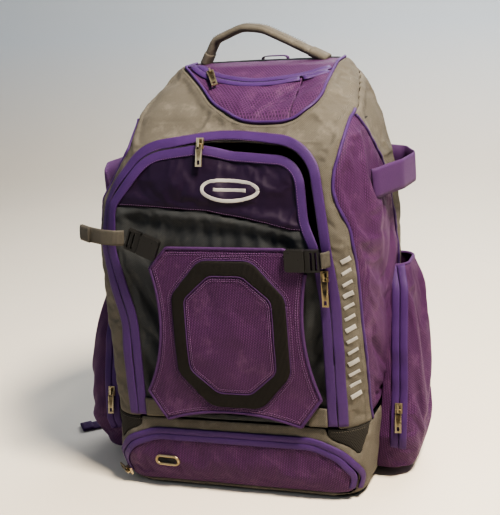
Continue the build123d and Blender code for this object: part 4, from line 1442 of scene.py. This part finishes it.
def strap_lines(side, shift, lift):
    """A line down a shoulder pad's outer face, part of its width from the middle."""
    path = rounded([(117, 480), (128, 440), (140, 380), (143, 300), (135, 230), (127, 180)], 40, 0.005)
    widths = [(192, 14), (215, 24), (260, 31), (380, 32), (420, 29), (455, 16), (471, 11)]
    points, outs = [], []
    for k, p in enumerate(path):
        mm = p.y / MM
        if not 194 < mm < 469:
            continue
        for (z0, w0), (z1, w1) in zip(widths, widths[1:]):
            if z0 <= mm <= z1:
                half = w0 + (w1 - w0) * (mm - z0) / (z1 - z0)
        a, b = path[max(k - 1, 0)], path[min(k + 1, len(path) - 1)]
        along = (b - a).normalized()
        n = Vector((0, -along.y, along.x))
        n = n if n.y > 0 else -n
        x = side * (strap_x(mm) + shift * half) * MM
        points.append(Vector((x, p.x, p.y)) + n * (0.0055 + lift))
        outs.append(n)
    return points, outs


for side, sign in (("left", -1), ("right", 1)):
    box = sweep("web", *strap_lines(sign, 0.0, 0.0004), tape_profile(SHOULDER_WEBBING, 0.0016, 0.0002, HEM))
    edges = [sweep("edge", *strap_lines(sign, s, -0.0052), round_profile(0.0024)) for s in (-0.98, 0.98)]
    publish(side + "_strap_trim", merged([box] + edges), side + "_strap", "lining")
    sew(side + "_strap_stitches", [(*strap_lines(sign, 0.0, 0.0016), s) for s in (-0.0108, 0.0108)],
        side + "_strap", "grey_thread", 0.0036, 0.00035)
    web_path, outs = [], []
    for k in range(40):
        z = 0.196 - (0.196 - 0.0355) * k / 39
        t = (z - 0.030) / (0.200 - 0.030)
        y = 0.1135 + (0.124 - 0.1135) * min(1, (z - 0.03) / 0.1) + max(0, z - 0.13) / 0.07 * 0.005
        web_path.append(Vector((sign * strap_x(z / MM) * MM, y - 0.0009, z)))
        outs.append(Vector((0, 1, 0)))
    publish(side + "_lower_webbing", sweep("web", web_path, outs,
                                           tape_profile(SHOULDER_WEBBING, 0.0016, 0.0002, HEM)),
            side + "_strap", "lining", [side + "_strap_webbing"])


def flat_tail(points, radii, width, z=0.0006, fold=0.0):
    """Webbing that lies on the floor, its end folded over and sewn."""
    plan = rounded(points, radii, 0.004)
    path = [Vector((p.x, p.y, z + 0.0012 * math.sin(k * 0.16) ** 2)) for k, p in enumerate(plan)]
    meshes = [sweep("tail", path, [Vector((0, 0, 1))] * len(path), tape_profile(width, 0.0016, 0.0002, HEM))]
    if fold:
        end = [p + Vector((0, 0, 0.0019)) for p in path[-int(fold / 0.004):]]
        meshes.append(sweep("fold", end, [Vector((0, 0, 1))] * len(end),
                            tape_profile(width, 0.0018, 0.0006, HEM)))
    return meshes


tails = flat_tail([(-120, 121), (-168, 127), (-232, 84), (-302, 30)], [0, 60, 60, 0], FLOOR_WEBBING,
                  fold=0.020)
tails += flat_tail([(120, 114), (124, 132), (140, 152)], [0, 20, 0], FLOOR_WEBBING, fold=0.012)
for sign in (-1, 1):
    riser = [Vector((sign * 0.120, 0.1135, 0.0006)), Vector((sign * 0.120, 0.1115, 0.004)),
             Vector((sign * 0.120, 0.1105, 0.010)), Vector((sign * 0.120, 0.1103, 0.0165))]
    tails.append(sweep("riser", riser, [Vector((0, 1, 0.2))] * 4,
                       tape_profile(FLOOR_WEBBING, 0.0015, 0.0002, HEM)))
publish("webbing_tails", merged(tails), "bag", "purple_webbing", ["strap_tails"])
soft_solid("sewn_anchors", ["strap_anchors"], "bag", "lining", 0.0016, gathers=0.0003, subdivide=0)


def slumped(p):
    """The hang loop's free top has sunk."""
    return Vector((p.x, p.y, min(p.z, 0.512) + 0.45 * max(0.0, p.z - 0.512)))


soft_solid("hanging_loop", ["hang_loop"], "bag", "purple_webbing", 0.0008, slumped, gathers=0.0003,
           subdivide=0,
           smooth_steps=1)

# The handle: a padded tube of twill with a sewn sleeve at each foot
grip = rounded([(-77, 511), (-59, 542), (-20, 556.5), (8, 552.5), (90, 511)], [0, 16, 34, 34, 0], 0.003)
grip_path = [Vector((p.x, 0.078, p.y)) for p in grip]
grip_out = []
for k, p in enumerate(grip_path):
    along = (grip_path[min(k + 1, len(grip) - 1)] - grip_path[max(k - 1, 0)]).normalized()
    grip_out.append(along.cross(Vector((0, 1, 0))) * -1)
    if grip_out[-1].z < 0:
        grip_out[-1].negate()


def handle_size(t):
    near = min(t, 1 - t)
    return 0.86 + 0.14 * ramp(near, 0.02, 0.16)


handle_ring = [(0.0118 * math.copysign(abs(math.cos(a)) ** 0.75, math.cos(a)),
                0.0052 * math.copysign(abs(math.sin(a)) ** 0.9, math.sin(a)) - 0.0002)
               for a in [2 * math.pi * k / 28 for k in range(28)]]
handle_mesh = sweep("handle", grip_path, grip_out, handle_ring, twist=handle_size)
for v in handle_mesh.vertices:
    n = noise.noise(v.co * 70) * 0.0005 + noise.noise(v.co * 160) * 0.0003
    v.co += Vector((0, n, n * 0.6))
sleeves = []
for low, high in ((0.0, 0.10), (0.86, 1.0)):
    part = [(p, n) for k, (p, n) in enumerate(zip(grip_path, grip_out)) if low <= k / (len(grip) - 1) <= high]
    ring = [(a * 1.09, b * 1.20) for a, b in handle_ring]
    sleeves.append(sweep("sleeve", [p for p, n in part], [n for p, n in part], ring, twist=lambda t: 0.96))
publish("handle_cover", merged([handle_mesh] + sleeves), "handle", "grey_twill",
        ["handle_grip"],
        subdivide=1, blend=("bag", "handle", (0, 0.078, 0.5135), (0, 0.078, 0.530)))
sew_rows = [([p + n * 0.0048 for p, n in zip(grip_path, grip_out)], grip_out, s) for s in (-0.0072, 0.0072)]
bm = bmesh.new()
for path, normals, shift in sew_rows:
    stitches(bm, path[12:-12], normals[12:-12], 0.0034, 0.00035, shift)
mesh = to_mesh(bm, "handle_stitches")
publish("handle_stitches", mesh, "handle", "grey_thread", uv=uv_front)

# ------------------------------------------------------------------ buckles' webbing
face = -0.1243


def buckle_web(name, node_name, body, origin, x_dir, points, radius, width, extra=()):
    """Webbing that leaves a buckle: points are (along, out) in mm."""
    ox, oz = origin
    ux, uz = x_dir
    size = math.hypot(ux, uz)
    ux, uz = ux / size, uz / size
    plan = rounded(points, radius, 0.0025)
    path = [Vector((ox + ux * p.x, face - p.y, oz + uz * p.x)) for p in plan]
    outs = []
    for k, p in enumerate(path):
        along = (path[min(k + 1, len(path) - 1)] - path[max(k - 1, 0)]).normalized()
        side_way = Vector((-uz, 0, ux))
        n = side_way.cross(along)
        outs.append(n if n.y < 0 or (abs(n.y) < 0.3 and n.dot(Vector((ux, 0, uz))) > 0) else -n)
    ring = [(a, h - 0.0008) for a, h in tape_profile(width, 0.0016, 0.0002, HEM)]
    meshes = [sweep("web", path, outs, ring)]
    for low in extra:
        part = [(p, n) for p, n in list(zip(path, outs))[low:]]
        meshes.append(sweep("hem", [p + n * 0.0018 for p, n in part], [n for p, n in part],
                            [(a, h - 0.0008) for a, h in tape_profile(width, 0.0022, 0.0008, HEM)]))
    publish(name, merged(meshes), body, "grey_webbing", [node_name])


buckle_web("left_buckle_strap", "left_plug_webbing", "left_buckle_plug", (-0.1146, 0.3336), (-1, 0.1),
           [(3.4, 5), (14, 10.5), (30, 11.5), (48, 7), (61.5, 0)], 14, BUCKLE_WEBBING, extra=(-8,))
buckle_web("right_buckle_strap", "right_plug_webbing", "right_buckle_plug", (0.1234, 0.309), (1, 0),
           [(0.8, 4), (6, 0.5), (9, -6)], 4, BUCKLE_WEBBING)

# ------------------------------------------------------------------ hardware that stays as it is in the CAD
HARDWARE = {
    "black_plastic": ["left_socket", "right_socket", "left_plug", "right_plug", "ladder_locks"],
    "antique_brass": [k + s for k in ("upper", "shoe", "top", "left_pocket", "right_pocket")
                      for s in ("_slider", "_pull")],
    "dark_metal": ["lower_slider", "lower_pull"],
    "lining": ["shoe_ceiling", "top_pocket_floor"],
}
for finish, names in HARDWARE.items():
    for name in names:
        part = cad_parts[name]
        for slot_number in range(len(part.material_slots)):
            part.material_slots[slot_number].material = MATERIALS[finish]
        if not part.material_slots:
            part.data.materials.append(MATERIALS[finish])
        edge = part.modifiers.new("edge", "BEVEL")
        edge.width = 0.00045
        edge.segments = 2
        edge.limit_method = "ANGLE"
grommet = [Vector((-0.097 + 0.0101 * math.copysign(1, math.cos(a)) + 0.0052 * math.cos(a),
                   0.041 + 0.0052 * math.sin(a)))
           for a in [2 * math.pi * (k + 0.5) / 48 for k in range(49)]]
ring_path, ring_out = cling(*on_front(grommet, 0.0, "calm"), "bag", 0.0006)
hole = [Vector((-0.097, 0.041)) + (p - Vector((-0.097, 0.041))) * 0.99 for p in grommet]
publish("oval_grommet", sweep("oval", ring_path, ring_out, [(0.0019 * math.cos(a), 0.0016 * math.sin(a))
                                                            for a in
        [2 * math.pi * k / 12 for k in range(12)]]), "shoe_door", "antique_brass",
        ["vent_grommet"])
# Painted shade: a flat black disc fills the grommet's opening in place of the shaded inside of the shoe
# pocket
rows = [[Vector((-0.097, 0.041)).lerp(p, t) for p in hole] for t in (0.05, 0.5, 1.0)]
publish("grommet_hole_painted_shade", loft("hole", [cling(*on_front(row, 0.0, "calm"), "bag", 0.0005)[0] for row in rows]),
        "shoe_door",
        "black_plastic", uv=uv_front)

# ------------------------------------------------------------------ floor
rows = []
for k in range(60):
    t = k / 59
    if t < 0.55:
        rows.append([(x, -6.0 + 7.6 * t / 0.55, 0.0) for x in (-12, 0, 12)])
    elif t < 0.8:
        a = (t - 0.55) / 0.25 * math.pi / 2
        rows.append([(x, 1.6 + 0.9 * math.sin(a), 0.9 - 0.9 * math.cos(a)) for x in (-12, 0, 12)])
    else:
        rows.append([(x, 2.5, 0.9 + 3 * (t - 0.8) / 0.2) for x in (-12, 0, 12)])
floor = bpy.data.objects.new("floor", loft("floor", [[Vector(p) for p in row] for row in rows]))
scene.collection.objects.link(floor)
floor.data.polygons.foreach_set("use_smooth", [True] * len(floor.data.polygons))
paper, tree, skin = empty_material("paper")
place = node(tree, "TexCoord").outputs["Object"]
spots = node(tree, "TexNoise", {"Vector": place, "Scale": 3.0, "Detail": 6.0}).outputs["Fac"]
height = node(tree, "SeparateXYZ", {0: place}).outputs[2]
rise = node(tree, "MapRange", {0: height, 1: 0.0, 2: 0.35}).outputs[0]
ground = mix(tree, spots, (0.76, 0.70, 0.60), (0.80, 0.74, 0.64))
tree.links.new(mix(tree, rise, ground, (0.64, 0.70, 0.76)), skin.inputs["Base Color"])
skin.inputs["Roughness"].default_value = 0.85
floor.data.materials.append(paper)
